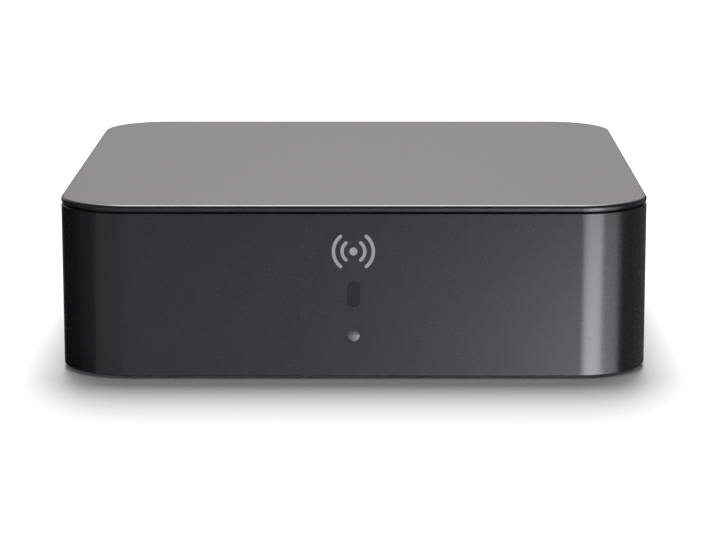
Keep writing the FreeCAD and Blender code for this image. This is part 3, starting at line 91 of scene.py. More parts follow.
def linearColour(code):
    # an sRGB hex value as the linear colour that a shader takes
    parts = [int(code[i : i + 2], 16) / 255 for i in (1, 3, 5)]
    return [*(p / 12.92 if p <= 0.04045 else ((p + 0.055) / 1.055) ** 2.4 for p in parts), 1.0]


def addNode(tree, kind, settings=None, links=None, output=0):
    # adds a node, sets its inputs or properties by name, links one or more sockets into each
    # of its inputs, and gives back the output that it is there for
    node = tree.nodes.new(kind)
    for name, setting in (settings or {}).items():
        if isinstance(name, int) or name in node.inputs:
            node.inputs[name].default_value = setting
        else:
            setattr(node, name, setting)
    for name, sources in (links or {}).items():
        for source in sources if isinstance(sources, list) else [sources]:
            tree.links.new(source, node.inputs[name])
    return node.outputs[output]


def boxInMm(node):
    low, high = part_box(node)
    return low / mm, high / mm


def meshObject(name, mesh, material=None):
    piece = bpy.data.objects.new(name, mesh)
    bpy.context.scene.collection.objects.link(piece)
    if material:
        mesh.materials.clear()
        mesh.materials.append(material)
    return piece


def meshOf(shape, name):
    mesh = bpy.data.meshes.new(name)
    shape.to_mesh(mesh)
    shape.free()
    return mesh


def mergedShape(node):
    # a CAD node's triangles joined up
    shape = bmesh.new()
    shape.from_mesh(cadNodes[node].data)
    bmesh.ops.remove_doubles(shape, verts=shape.verts, dist=0.002 * mm)
    return shape


def solidBoxes(node):
    # the box of each separate solid in a CAD node, from left to right
    shape = mergedShape(node)
    left, boxes = set(shape.verts), []
    while left:
        reached, group = [left.pop()], []
        while reached:
            vertex = reached.pop()
            group.append(vertex.co.copy())
            for edge in vertex.link_edges:
                other = edge.other_vert(vertex)
                if other in left:
                    left.remove(other)
                    reached.append(other)
        corners = [Vector([pick(p[i] for p in group) for i in range(3)]) for pick in (min, max)]
        boxes.append(corners)
    shape.free()
    return sorted(boxes, key=lambda box: tuple(round(c, 5) for c in box[0]))


def shadeByAngle(mesh, degrees):
    # smooth faces, with a hard edge wherever two faces turn by more than the angle
    shape = bmesh.new()
    shape.from_mesh(mesh)
    for face in shape.faces:
        face.smooth = True
    for edge in shape.edges:
        angle = edge.calc_face_angle(0) if len(edge.link_faces) == 2 else 0
        edge.smooth = angle < math.radians(degrees)
    shape.to_mesh(mesh)
    shape.free()


def seat(piece, node, beside=None):
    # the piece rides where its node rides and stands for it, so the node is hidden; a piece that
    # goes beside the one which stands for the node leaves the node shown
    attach(piece, cadNodes[node]["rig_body"])
    if not beside:
        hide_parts(node)
    return piece


def finished(shape, node, material, softEdge=0, steps=2, turn=30, name=None, beside=None):
    # a piece with even shading, and soft edges wherever its faces turn by more than an angle
    name = name or node + "Look"
    mesh = meshOf(shape, name)
    piece = meshObject(name, mesh, material)
    shadeByAngle(mesh, turn)
    if softEdge:
        bevel = piece.modifiers.new("softEdges", "BEVEL")
        bevel.width = softEdge * mm
        bevel.segments = steps
        bevel.limit_method = "ANGLE"
        bevel.angle_limit = math.radians(turn)
        bevel.miter_outer = "MITER_ARC"
    weighted = piece.modifiers.new("evenShading", "WEIGHTED_NORMAL")
    weighted.keep_sharp = True
    weighted.weight = 100
    return seat(piece, node, beside)


def dress(node, material, softEdge=0, **look):
    # a finished copy of a CAD node's own shape
    return finished(mergedShape(node), node, material, softEdge, **look)


def skinned(shape, rings):
    # a closed skin over rings of points in millimetres, with a face at each end
    rows = [[shape.verts.new(Vector(point) * mm) for point in ring] for ring in rings]
    count = len(rows[0])
    for one, two in zip(rows, rows[1:]):
        for a, b in ((i, (i + 1) % count) for i in range(count)):
            shape.faces.new((one[a], one[b], two[b], two[a]))
    shape.faces.new(rows[0][::-1])
    shape.faces.new(rows[-1])
    return shape


def spanOf(low, high, axis=2):
    # a box's middle and half sizes on the two axes that follow the given one
    pairs = [(low[i % 3], high[i % 3]) for i in (axis + 1, axis + 2)]
    return [(a + b) / 2 for a, b in pairs], [(b - a) / 2 for a, b in pairs]


def roundedStack(shape, axis, middle, half, stations, cornerSteps=5):
    # a skin over round-cornered rings: each station is its place along the axis, how far it is
    # drawn in from the half sizes, and its corner radius
    rings = []
    for along, inset, radius in stations:
        ring = []
        for quarter, signs in enumerate(((1, -1), (1, 1), (-1, 1), (-1, -1))):
            for step in range(cornerSteps + 1):
                angle = math.pi / 2 * (quarter - 1 + step / cornerSteps)
                around = (radius * math.cos(angle), radius * math.sin(angle))
                point = [along] * 3
                for i, sign in enumerate(signs):
                    reach = half[i] - inset - radius
                    point[(axis + 1 + i) % 3] = middle[i] + sign * reach + around[i]
                ring.append(point)
        rings.append(ring)
    return skinned(shape, rings)


def softBlock(shape, low, high, corner, rim, axis=2, steps=3, cornerSteps=5):
    # a block with round corners along one axis and rolled rims at its two ends
    stations = []
    for end, sign in ((low[axis], 1), (high[axis], -1)):
        for step in range(steps + 1):
            angle = math.pi / 2 * (step if sign > 0 else steps - step) / steps
            inset = rim * (1 - math.sin(angle))
            place = end + sign * rim * (1 - math.cos(angle))
            stations.append((place, inset, max(corner - inset, 0.02)))
    return roundedStack(shape, axis, *spanOf(low, high, axis), stations, cornerSteps)


def newMaterial(name, constants):
    # a material with the given constants on its shader's own sockets
    material = bpy.data.materials.new(name)
    material.use_nodes = True
    tree = material.node_tree
    shader = tree.nodes["Principled BSDF"]
    for socket, setting in constants.items():
        shader.inputs[socket].default_value = setting
    return material, tree, shader


def finishSurface(tree, shader, tone, height, depth, roughness, spread):
    # a colour, bump of the given depth in millimetres, and a roughness that varies with the bump
    limits = {"To Min": roughness - spread, "To Max": roughness + spread}
    gloss = addNode(tree, "ShaderNodeMapRange", limits, {"Value": height})
    relief = {"Strength": 0.5, "Distance": depth * mm}
    bump = addNode(tree, "ShaderNodeBump", relief, {"Height": height})
    for socket, source in (("Base Color", tone), ("Roughness", gloss), ("Normal", bump)):
        tree.links.new(source, shader.inputs[socket])


def grainedSurface(
    name, constants, colour, roughness, grain, depth, blobs, drift, spread, stretch=(1, 1, 1)
):
    # a colour that drifts a little in blobs, and a fine grain that makes the bump and spreads
    # the roughness: grain and blobs are spacings and depth a height, all in millimetres
    material, tree, shader = newMaterial(name, constants)
    place = addNode(tree, "ShaderNodeTexCoord", output="Object")
    place = addNode(tree, "ShaderNodeMapping", {"Scale": stretch}, {"Vector": place})
    clouds, height = (
        addNode(
            tree,
            "ShaderNodeTexNoise",
            {"Scale": 1 / (spacing * mm), "Detail": 2.0, "Roughness": 0.55},
            {"Vector": place},
        )
        for spacing in (blobs, grain)
    )
    base = linearColour(colour)[:3]
    ends = {6: [c * (1 - drift) for c in base] + [1.0], 7: [c * (1 + drift) for c in base] + [1.0]}
    tone = addNode(tree, "ShaderNodeMix", {"data_type": "RGBA", **ends}, {0: clouds}, 2)
    finishSurface(tree, shader, tone, height, depth, roughness, spread)
    return material


def mouldedPlastic(name, colour, roughness, grain, depth, ior=1.53, drift=0.04):
    # a polymer from a steel mould, whose texture is its grain
    look = {"blobs": 14, "drift": drift, "spread": 0.04}
    return grainedSurface(name, {"IOR": ior}, colour, roughness, grain, depth, **look)


def platedMetal(name, colour, roughness, grain, depth, stretch=(1, 1, 1)):
    # bare or plated metal, its grain stretched along a direction where it is drawn or extruded
    look = {"blobs": 5, "drift": 0.06, "spread": 0.07, "stretch": stretch}
    return grainedSurface(name, {"Metallic": 1.0}, colour, roughness, grain, depth, **look)


def clearPlastic(name, colour, roughness, ior, through, scatter=0.0):
    # polycarbonate or glass: how much light goes through and how milky it is
    constants = {
        "IOR": ior,
        "Transmission Weight": through,
        "Subsurface Weight": scatter,
        "Subsurface Radius": (1.0 * mm, 1.0 * mm, 1.1 * mm),
        "Subsurface Scale": 1.0,
    }
    look = {"grain": 1.5, "depth": 0.002, "blobs": 6, "drift": 0.03, "spread": 0.02}
    return grainedSurface(name, constants, colour, roughness, **look)


# spacing of the copper areas, tracks and plated holes in millimetres, and the colours of bare
# resist, resist over copper, plating and sawn laminate
boardLook = {
    "area": 11,
    "areaShare": 0.72,
    "track": 0.45,
    "trackGap": 0.24,
    "hole": 3.4,
    "holeSize": 0.11,
    "colours": ("#0b2a1c", "#174a2f", "#b9a468", "#8d8a5c"),
}


def boardLaminate(name, turn, area, areaShare, track, trackGap, hole, holeSize, colours):
    # glass-fibre board under green solder resist: runs of fine tracks, copper areas between
    # them, small plated holes, and the bare yellowish laminate on its sawn edges
    material, tree, shader = newMaterial(name, {"IOR": 1.55})
    seen = addNode(tree, "ShaderNodeTexCoord").node.outputs
    axes = []
    for source in (seen["Object"], seen["Normal"]):
        laid = addNode(tree, "ShaderNodeMapping", {"Rotation": turn}, {"Vector": source})
        axes.append(addNode(tree, "ShaderNodeSeparateXYZ", {}, {0: laid}).node.outputs)
    (x, y, _), (_, _, facing) = axes
    upright = addNode(tree, "ShaderNodeMath", {"operation": "ABSOLUTE"}, {0: facing})
    plane = {"Vector": addNode(tree, "ShaderNodeCombineXYZ", {}, {0: x, 1: y})}
    cells = {"Scale": 1 / (area * mm), "distance": "CHEBYCHEV", "Randomness": 0.85}
    areas = addNode(tree, "ShaderNodeTexVoronoi", cells, plane, "Color")
    kind = addNode(tree, "ShaderNodeSeparateColor", {}, {0: areas})
    cells = {"Scale": 1 / (hole * mm), "Randomness": 0.9}
    distance = addNode(tree, "ShaderNodeTexVoronoi", cells, plane, "Distance")
    waves = [
        addNode(tree, "ShaderNodeMath", {"operation": "PINGPONG", 1: track * mm}, {0: axis})
        for axis in (x, y)
    ]
    lengthTracks, crossTracks, crosswise, pour, holes, edge = (
        addNode(tree, "ShaderNodeMath", {"operation": operation, 1: limit}, {0: value})
        for value, operation, limit in (
            (waves[0], "GREATER_THAN", trackGap * mm),
            (waves[1], "GREATER_THAN", trackGap * mm),
            (kind, "GREATER_THAN", 0.4),
            (kind, "GREATER_THAN", areaShare),
            (distance, "LESS_THAN", holeSize),
            (upright, "LESS_THAN", 0.5),
        )
    )
    links = {0: crosswise, 2: lengthTracks, 3: crossTracks}
    tracks = addNode(tree, "ShaderNodeMix", {"data_type": "FLOAT"}, links)
    copper = addNode(tree, "ShaderNodeMath", {"operation": "MAXIMUM"}, {0: tracks, 1: pour})
    tone = []
    for mask, colour in zip((copper, holes, edge), colours[1:]):
        pair = {"data_type": "RGBA", 6: linearColour(colours[0]), 7: linearColour(colour)}
        tone = addNode(tree, "ShaderNodeMix", pair, {0: mask, 6: tone}, 2)
    plated = addNode(tree, "ShaderNodeMath", {"operation": "MULTIPLY", 1: 0.8}, {0: holes})
    tree.links.new(plated, shader.inputs["Metallic"])
    finishSurface(tree, shader, tone, copper, 0.03, 0.3, 0.05)
    return material


def bandedFilm(name, colour, second, pitch, share, roughness, turn=(0, 0, 0)):
    # film, tape or flat cable with even bands of a second colour across it: the pitch of the
    # bands in millimetres and the share of it that the second colour takes
    material, tree, shader = newMaterial(name, {"IOR": 1.6})
    place = addNode(tree, "ShaderNodeTexCoord", output="Object")
    laid = addNode(tree, "ShaderNodeMapping", {"Rotation": turn}, {"Vector": place})
    across = addNode(tree, "ShaderNodeSeparateXYZ", {}, {0: laid})
    wave = {"operation": "PINGPONG", 1: pitch * mm / 2}
    band = addNode(tree, "ShaderNodeMath", wave, {0: across})
    edge = 0.5 - share / 2
    limits = {"From Min": pitch * mm * (edge - 0.05), "From Max": pitch * mm * edge}
    level = addNode(tree, "ShaderNodeMapRange", limits, {"Value": band})
    pair = {"data_type": "RGBA", 6: linearColour(colour), 7: linearColour(second)}
    tone = addNode(tree, "ShaderNodeMix", pair, {0: level}, 2)
    finishSurface(tree, shader, tone, level, 0.04, roughness, 0.05)
    return material


def sleeveFilm(name, colour, stripe):
    # heat-shrunk capacitor sleeve: glossy, with the pale stripe down its negative side
    material, tree, shader = newMaterial(name, {"IOR": 1.54})
    seen = addNode(tree, "ShaderNodeTexCoord").node.outputs
    way = {"operation": "DOT_PRODUCT", 1: (0.7071, -0.7071, 0)}
    side = addNode(tree, "ShaderNodeVectorMath", way, {0: seen["Normal"]}, "Value")
    limits = {"From Min": 0.955, "From Max": 0.96}
    marked = addNode(tree, "ShaderNodeMapRange", limits, {"Value": side})
    pair = {"data_type": "RGBA", 6: linearColour(colour), 7: linearColour(stripe)}
    tone = addNode(tree, "ShaderNodeMix", pair, {0: marked}, 2)
    ripple = {"Scale": 1 / (1.6 * mm), "Detail": 2.0, "Roughness": 0.55}
    height = addNode(tree, "ShaderNodeTexNoise", ripple, {"Vector": seen["Object"]})
    finishSurface(tree, shader, tone, height, 0.02, 0.24, 0.05)
    return material


# ABS, moulded with a fine spark-eroded grain: charcoal, low gloss, a soft sheen along edges;
# the real grain is about 0.1 mm, and it is drawn coarser so that it shows close up
caseAbs = mouldedPlastic("mouldedAbsCharcoal", "#19191c", 0.26, 0.42, 0.009)
coverAbs = mouldedPlastic("mouldedAbsSatin", "#1f1f21", 0.29, 0.38, 0.007)
# black ABS with a coarser grain, nearly matt
trayAbs = mouldedPlastic("mouldedAbsBlack", "#19191a", 0.55, 0.6, 0.02)
bayAbs = mouldedPlastic("mouldedAbsBay", "#1c1c1e", 0.48, 0.4, 0.01)
# glass-filled PBT of the sockets, black, dry and faintly fibrous, and the same left natural
socketPbt = mouldedPlastic("mouldedPbtBlack", "#151516", 0.42, 0.25, 0.008, 1.58)
tonguePbt = mouldedPlastic("mouldedPbtNatural", "#d9d6c9", 0.45, 0.3, 0.008, 1.58, 0.02)
# the button's ABS, a shade lighter than the panel
buttonAbs = mouldedPlastic("mouldedAbsButton", "#2b2b2d", 0.4, 0.3, 0.006)
# the phono inserts' glossy ABS
insertWhite = mouldedPlastic("mouldedAbsWhite", "#e6e4de", 0.22, 0.8, 0.004, 1.54, 0.02)
insertRed = mouldedPlastic("mouldedAbsRed", "#a80f12", 0.22, 0.8, 0.004, 1.54, 0.03)
# thermoplastic rubber of the feet, matt with a fine grain
footRubber = mouldedPlastic("mouldedRubber", "#141414", 0.78, 0.25, 0.03, 1.52)
# transfer-moulded epoxy of the chips, silica-filled and matt
chipResin = mouldedPlastic("mouldedEpoxy", "#1c1c1d", 0.6, 0.12, 0.012, 1.57)
# fired ceramic of the chip capacitors, and the glass-coated film of the chip resistors
chipCeramic = mouldedPlastic("firedCeramic", "#8b6b4a", 0.45, 0.2, 0.006, 1.8, 0.08)
chipFilm = mouldedPlastic("glassedFilm", "#1b1b20", 0.25, 0.2, 0.004, 1.6)
# the status light's silicone filled with phosphor
phosphorSilicone = mouldedPlastic("phosphorSilicone", "#dcc255", 0.35, 0.2, 0.01, 1.43, 0.06)
# soft silicone pad with its filler showing as faint specks
padSilicone = mouldedPlastic("thermalSilicone", "#7f93a5", 0.7, 0.3, 0.02, 1.43, 0.1)
# sintered ferrite, ground on its faces
ferriteCore = mouldedPlastic("sinteredFerrite", "#2a2a2c", 0.55, 0.15, 0.02, 2.3, 0.12)
# flame-retardant epoxy box of the suppressor
yellowEpoxy = mouldedPlastic("castEpoxyYellow", "#c9972a", 0.35, 0.5, 0.01, 1.56)
# PVC and fluoropolymer wire insulation, smooth and slightly glossy
wireRed = mouldedPlastic("wirePvcRed", "#8c1414", 0.32, 0.5, 0.004, 1.54)
leadBlack = mouldedPlastic("leadFluoropolymer", "#18181a", 0.4, 0.5, 0.004, 1.4)
# black polyester film under the mains board
insulationFilm = mouldedPlastic("polyesterFilm", "#1b1b1d", 0.25, 2.5, 0.02, 1.64)
# screen-printed ink, pale grey and matt
signInk = mouldedPlastic("screenPrintedInk", "#b4b4b8", 0.55, 0.2, 0.004, 1.5)
# zinc plate with its faint blue passivation, warm bright nickel, duller tin, thin gold
zincSteel = platedMetal("zincPlate", "#a9adb3", 0.34, 0.2, 0.004)
nickelPlate = platedMetal("nickelPlate", "#cfcbc2", 0.16, 0.4, 0.002)
tinPlate = platedMetal("tinPlate", "#b9bab8", 0.3, 0.3, 0.004, (1, 1, 0.12))
goldPlate = platedMetal("goldPlate", "#d9a94f", 0.2, 0.3, 0.002)
# enamelled copper wire, its lacquer warm and glossy
enamelledCopper = platedMetal("enamelledCopper", "#b5602c", 0.24, 0.3, 0.004)
# extruded aluminium with the die's lines along it, and the capacitors' drawn lids
sinkAluminium = platedMetal("extrudedAluminium", "#b5b7ba", 0.38, 0.14, 0.012, (1, 0.03, 0.3))
canAluminium = platedMetal("drawnAluminium", "#bfc0c2", 0.32, 0.2, 0.004)
boardFlat = boardLaminate("solderResistFlat", (0, 0, 0), **boardLook)
boardUpright = boardLaminate("solderResistUpright", (math.radians(90), 0, 0), **boardLook)
# white flat cable, its ten conductors showing through
ribbonFilm = bandedFilm("flatCablePolyester", "#d5d3cc", "#a9a49a", 1.0, 0.55, 0.35)
upTurn = (0, math.radians(90), 0)  # bands one above the other
# polyester tape wound over the copper, its laps showing
windingTape = bandedFilm("windingTape", "#c79a22", "#a87c16", 2.4, 0.2, 0.28, upTurn)
# polyimide aerial film, the copper runs showing through its dark cover layer
aerialFilm = bandedFilm("polyimideFilm", "#1b1511", "#4a3220", 3.0, 0.6, 0.4, upTurn)
# PVC shrunk on the electrolytic capacitors
capacitorSleeve = sleeveFilm("shrunkPvc", "#10131c", "#b9bcc4")
# polycarbonate light pipe with a diffusing filler
milkyPolycarbonate = clearPlastic("milkyPolycarbonate", "#74777b", 0.36, 1.58, 0.0, 0.5)
# infrared-passing polycarbonate, nearly black to the eye
smokedPolycarbonate = clearPlastic("smokedPolycarbonate", "#0d0c10", 0.12, 1.58, 0.0)
# the fuse's soda-lime tube
fuseGlass = clearPlastic("fuseGlass", "#e9f0ee", 0.04, 1.52, 0.95)
print("materials ready")

crossNames = ("Cross Height", "Cross Reach", "Cross Width", "Cross Depth")


def newTree(name, sockets):
    # an empty modifier tree with the named inputs, and their sockets inside it
    tree = bpy.data.node_groups.new(name, "GeometryNodeTree")
    tree.is_modifier = True
    inner = tree.interface
    inner.new_socket("Geometry", in_out="INPUT", socket_type="NodeSocketGeometry")
    for label, kind in {**sockets, "Finish": "Material"}.items():
        inner.new_socket(label, in_out="INPUT", socket_type="NodeSocket" + kind)
    inner.new_socket("Geometry", in_out="OUTPUT", socket_type="NodeSocketGeometry")
    given = tree.nodes.new("NodeGroupInput").outputs
    made = tree.nodes.new("NodeGroupOutput").inputs
    return tree, given, made


def instanced(tree, points, shape, turn, size, finish, made):
    # the shape on every point, as real mesh in the given material
    links = {"Points": points, "Instance": shape, "Rotation": turn, "Scale": size}
    copies = addNode(tree, "GeometryNodeInstanceOnPoints", {}, links)
    real = addNode(tree, "GeometryNodeRealizeInstances", {}, {0: copies})
    links = {"Geometry": real, "Material": finish}
    tree.links.new(addNode(tree, "GeometryNodeSetMaterial", {}, links), made[0])


def turnedTree():
    # turns the host's points, radius and height in millimetres, about their axis, cuts the
    # driver's cross where it has a depth, and puts the result on each place
    sockets = {"Places": "Object", "Segments": "Int", "Turn": "Vector"}
    sockets.update({name: "Float" for name in crossNames})
    tree, given, made = newTree("turnedParts", sockets)
    outline = {"Geometry": given["Geometry"]}
    count = addNode(tree, "GeometryNodeAttributeDomainSize", {}, outline, "Point Count")
    columns = addNode(tree, "ShaderNodeMath", {1: 1.0}, {0: given["Segments"]})
    grid = addNode(tree, "GeometryNodeMeshGrid", {}, {"Vertices X": columns, "Vertices Y": count})
    index = addNode(tree, "GeometryNodeInputIndex")
    row = addNode(tree, "ShaderNodeMath", {"operation": "MODULO"}, {0: index, 1: count})
    share = index
    for operation, by in (("DIVIDE", count), ("FLOOR", []), ("DIVIDE", given["Segments"])):
        share = addNode(tree, "ShaderNodeMath", {"operation": operation}, {0: share, 1: by})
    whole = {"operation": "MULTIPLY", 1: math.tau}
    angle = addNode(tree, "ShaderNodeMath", whole, {0: share})
    outline.update({"Value": addNode(tree, "GeometryNodeInputPosition"), "Index": row})
    point = addNode(tree, "GeometryNodeSampleIndex", {"data_type": "FLOAT_VECTOR"}, outline)
    about = {"rotation_type": "Z_AXIS"}
    spun = addNode(tree, "ShaderNodeVectorRotate", about, {"Vector": point, "Angle": angle})
    links = {"Geometry": grid, "Position": spun}
    placed = addNode(tree, "GeometryNodeSetPosition", {}, links)
    closed = addNode(tree, "GeometryNodeMergeByDistance", {"Distance": 0.001}, {0: placed})
    height, reach, width, depth = (given[name] for name in crossNames)
    tip = addNode(tree, "ShaderNodeMath", {"operation": "MULTIPLY", 1: 0.35}, {0: reach})
    links = {"Radius Top": reach, "Radius Bottom": tip, "Depth": depth}
    spike = addNode(tree, "GeometryNodeMeshCone", {"Vertices": 4}, links)
    thin = addNode(tree, "ShaderNodeMath", {"operation": "DIVIDE"}, {0: width, 1: reach})
    bottom = addNode(tree, "ShaderNodeMath", {"operation": "SUBTRACT"}, {0: height, 1: depth})
    low = addNode(tree, "ShaderNodeCombineXYZ", {}, {2: bottom})
    cuts = []
    for thinAxis in (1, 0):
        scale = addNode(tree, "ShaderNodeCombineXYZ", {0: 1.0, 1: 1.0, 2: 1.02}, {thinAxis: thin})
        links = {"Geometry": spike, "Translation": low, "Scale": scale}
        cuts.append(addNode(tree, "GeometryNodeTransform", {}, links))
    carving = {"operation": "DIFFERENCE", "solver": "MANIFOLD"}
    links = {"Mesh 1": closed, "Mesh 2": cuts}
    carved = addNode(tree, "GeometryNodeMeshBoolean", carving, links)
    more = {"data_type": "FLOAT", "operation": "GREATER_THAN"}
    crossed = addNode(tree, "FunctionNodeCompare", more, {0: depth})
    links = {"Switch": crossed, "False": closed, "True": carved}
    shape = addNode(tree, "GeometryNodeSwitch", {"input_type": "GEOMETRY"}, links)
    links = {"Object": given["Places"]}
    places = addNode(tree, "GeometryNodeObjectInfo", {}, links, "Geometry")
    turn = addNode(tree, "FunctionNodeEulerToRotation", {}, {0: given["Turn"]})
    toMetres = addNode(tree, "ShaderNodeCombineXYZ", {0: mm, 1: mm, 2: mm})
    instanced(tree, places, shape, turn, toMetres, given["Finish"], made)
    return tree


def scatterTree():
    # puts a small shape on each point of the host, turned and stretched as the point says
    tree, given, made = newTree("repeatedParts", {"Shape": "Object"})
    links = {"Object": given["Shape"]}
    shape = addNode(tree, "GeometryNodeObjectInfo", {}, links, "Geometry")
    kind = {"data_type": "FLOAT_VECTOR"}
    angles, stretch = (
        addNode(tree, "GeometryNodeInputNamedAttribute", {**kind, "Name": name})
        for name in ("turn", "stretch")
    )
    turn = addNode(tree, "FunctionNodeEulerToRotation", {}, {0: angles})
    instanced(tree, given["Geometry"], shape, turn, stretch, given["Finish"], made)
    return tree


def wireTree():
    # rounds the host's line, sweeps a round section along it and repeats it side by side
    sockets = {"Bend": "Float", "Radius": "Float", "Sides": "Int", "Count": "Int"}
    tree, given, made = newTree("sideBySideWires", {**sockets, "Step": "Vector"})
    line = addNode(tree, "GeometryNodeMeshToCurve", {}, {0: given["Geometry"]})
    links = {"Curve": line, "Radius": given["Bend"]}
    bent = addNode(tree, "GeometryNodeFilletCurve", {"mode": "POLY", "Count": 8}, links)
    links = {"Resolution": given["Sides"], "Radius": given["Radius"]}
    section = addNode(tree, "GeometryNodeCurvePrimitiveCircle", {"mode": "RADIUS"}, links)
    links = {"Curve": bent, "Profile Curve": section}
    tube = addNode(tree, "GeometryNodeCurveToMesh", {"Fill Caps": True}, links)
    links = {"Count": given["Count"], "Offset": given["Step"]}
    row = addNode(tree, "GeometryNodeMeshLine", {}, links)
    still = addNode(tree, "FunctionNodeEulerToRotation")
    whole = addNode(tree, "ShaderNodeCombineXYZ", {0: 1.0, 1: 1.0, 2: 1.0})
    instanced(tree, row, tube, still, whole, given["Finish"], made)
    return tree


turnedParts, repeatedParts, sideBySideWires = turnedTree(), scatterTree(), wireTree()
turns = {
    "+Z": (0, 0, 0),
    "-Z": (math.pi, 0, 0),
    "+Y": (-math.pi / 2, 0, 0),
    "-Y": (math.pi / 2, 0, 0),
}
print("trees ready")


def pointsMesh(name, points, edges=()):
    mesh = bpy.data.meshes.new(name)
    mesh.from_pydata([tuple(p) for p in points], list(edges), [])
    return mesh


def grown(name, host, tree, settings, spare=()):
    # runs a tree on the host and keeps the result as plain mesh
    piece = meshObject(name, host)
    work = piece.modifiers.new("nodes", "NODES")
    work.node_group = tree
    inputs = [item for item in tree.interface.items_tree if item.in_out == "INPUT"]
    sockets = {item.name: item.identifier for item in inputs}
    for label, setting in settings.items():
        work[sockets[label]] = setting
    bpy.context.view_layer.update()
    seen = bpy.context.evaluated_depsgraph_get()
    mesh = bpy.data.meshes.new_from_object(piece.evaluated_get(seen), depsgraph=seen)
    piece.modifiers.remove(work)
    piece.data = mesh
    mesh.name = name
    mesh.materials.clear()
    mesh.materials.append(settings["Finish"])
    mesh.polygons.foreach_set("material_index", [0] * len(mesh.polygons))
    shadeByAngle(mesh, 34)
    for helper in spare:
        bpy.data.objects.remove(helper)
    return piece


def startsOf(node, facing):
    # where each solid of a node starts, seen along the way that it faces
    axis, forward = "XYZ".index(facing[1]), facing[0] == "+"
    starts = []
    for low, high in solidBoxes(node):
        start = (low + high) / 2
        start[axis] = (low if forward else high)[axis]
        starts.append(start)
    return starts


def turned(name, node, facing, profile, segments, material, cross=None, starts=None, beside=None):
    # turned pieces in place of each solid of a node: profile is radius and height in millimetres
    # from the solid's far end, facing is where its height points, and cross is the recess's
    # place along it, reach, width and depth
    places = meshObject("places", pointsMesh("places", starts or startsOf(node, facing)))
    host = pointsMesh(name, [(r, 0, h) for r, h in profile])
    settings = {"Places": places, "Segments": segments, "Turn": turns[facing]}
    settings.update(zip(crossNames, cross or (0.0, 1.0, 1.0, 0.0)))
    piece = grown(name, host, turnedParts, {**settings, "Finish": material}, [places])
    return seat(piece, node, beside)


def repeated(name, node, shape, places, material, beside=None):
    # a small shape on each place: a point, its turn in radians and its stretch
    host = pointsMesh(name, [p[0] for p in places])
    for number, label in ((1, "turn"), (2, "stretch")):
        field = host.attributes.new(label, "FLOAT_VECTOR", "POINT")
        field.data.foreach_set("vector", [c for p in places for c in p[number]])
    pattern = meshObject("pattern", shape)
    piece = grown(name, host, repeatedParts, {"Shape": pattern, "Finish": material}, [pattern])
    return seat(piece, node, beside)


def dome(radius, base, height, angles):
    # the outline of a rounded end, up to its middle
    arc = [(radius * math.cos(a), base + height * math.sin(a)) for a in angles]
    return arc + [(0, base + height)]


dress("sleeve", caseAbs, 0.2, steps=3, turn=50)

# the cover's plate is drawn again as a stack of round-cornered rings, so that its rolled edge
# is even all round; its lip, ribs and bosses are the CAD's
coverSizes = {"radius": 17.0, "thickness": 1.2, "edge": 0.7, "edgeSteps": 8, "cornerSteps": 24}


def coverShape(radius, thickness, edge, edgeSteps, cornerSteps):
    half, top = cadHigh[0] / mm, cadHigh[2] / mm
    bottom = top - thickness
    shape = mergedShape("top_cover")
    plate = [face for face in shape.faces if face.calc_center_median().z / mm > bottom - 0.01]
    bmesh.ops.delete(shape, geom=plate, context="FACES")
    bmesh.ops.holes_fill(shape, edges=[e for e in shape.edges if e.is_boundary], sides=0)
    insets = [(0.12, bottom), (0.035, bottom + 0.035), (0, bottom + 0.12)]
    for step in range(edgeSteps + 1):
        angle = math.pi / 2 * step / edgeSteps
        insets.append((edge * (1 - math.cos(angle)), top - edge * (1 - math.sin(angle))))
    stations = [(z, inset, radius - inset) for inset, z in insets]
    return roundedStack(shape, 2, (0, 0), (half, half), stations, cornerSteps)


finished(coverShape(**coverSizes), "top_cover", coverAbs, turn=50)
dress("base_tray", trayAbs, 0.15)
dress("bay_surround", bayAbs, 0.2)
dress("connector_panel", bayAbs, 0.12)

# the feet: a soft rim and two rings that grip, moulded into the face on the floor
footSizes = {"radius": 6.5, "height": 1.6, "rings": (5.0, 3.2), "groove": 0.3}


def footProfile(radius, height, rings, groove):
    points = [(0, 0), (radius, 0), (radius, height - 0.42), (radius - 0.1, height - 0.18)]
    points += [(radius - 0.4, height)]
    for ring in rings:
        points += [(ring, height), (ring - 0.12, height - groove)]
        points += [(ring - 0.5, height - groove), (ring - 0.62, height)]
    return points + [(0, height)]


turned("rubberFeet", "rubber_feet", "-Z", footProfile(**footSizes), 64, footRubber)

# the light pipe's lens is slightly domed
lensSizes = {
    "stem": 1.5,
    "flange": 2.3,
    "flangeStart": 4.3,
    "flangeEnd": 5.3,
    "face": 7.6,
    "rise": 0.2,
}


def lensProfile(stem, flange, flangeStart, flangeEnd, face, rise):
    points = [(0, 0), (stem - 0.2, 0), (stem, 0.2), (stem, flangeStart), (flange, flangeStart)]
    points += [(flange, flangeEnd), (stem, flangeEnd), (stem, face - rise)]
    return points + dome(stem, face - rise, rise, (0.5, 0.9, 1.2, 1.4))


turned("lightPipe", "light_pipe", "-Y", lensProfile(**lensSizes), 48, milkyPolycarbonate)
dress("infrared_eye", smokedPolycarbonate, 0.12, steps=3)

# the printed sign on the front: a dot with two waves on each side, a film of ink on the wall
signSizes = {
    "middle": 31.4,
    "dot": 0.95,
    "waves": (2.7, 4.75),
    "stroke": 0.8,
    "spread": 50,
    "ink": 0.03,
    "arcSteps": 9,
    "endSteps": 5,
}


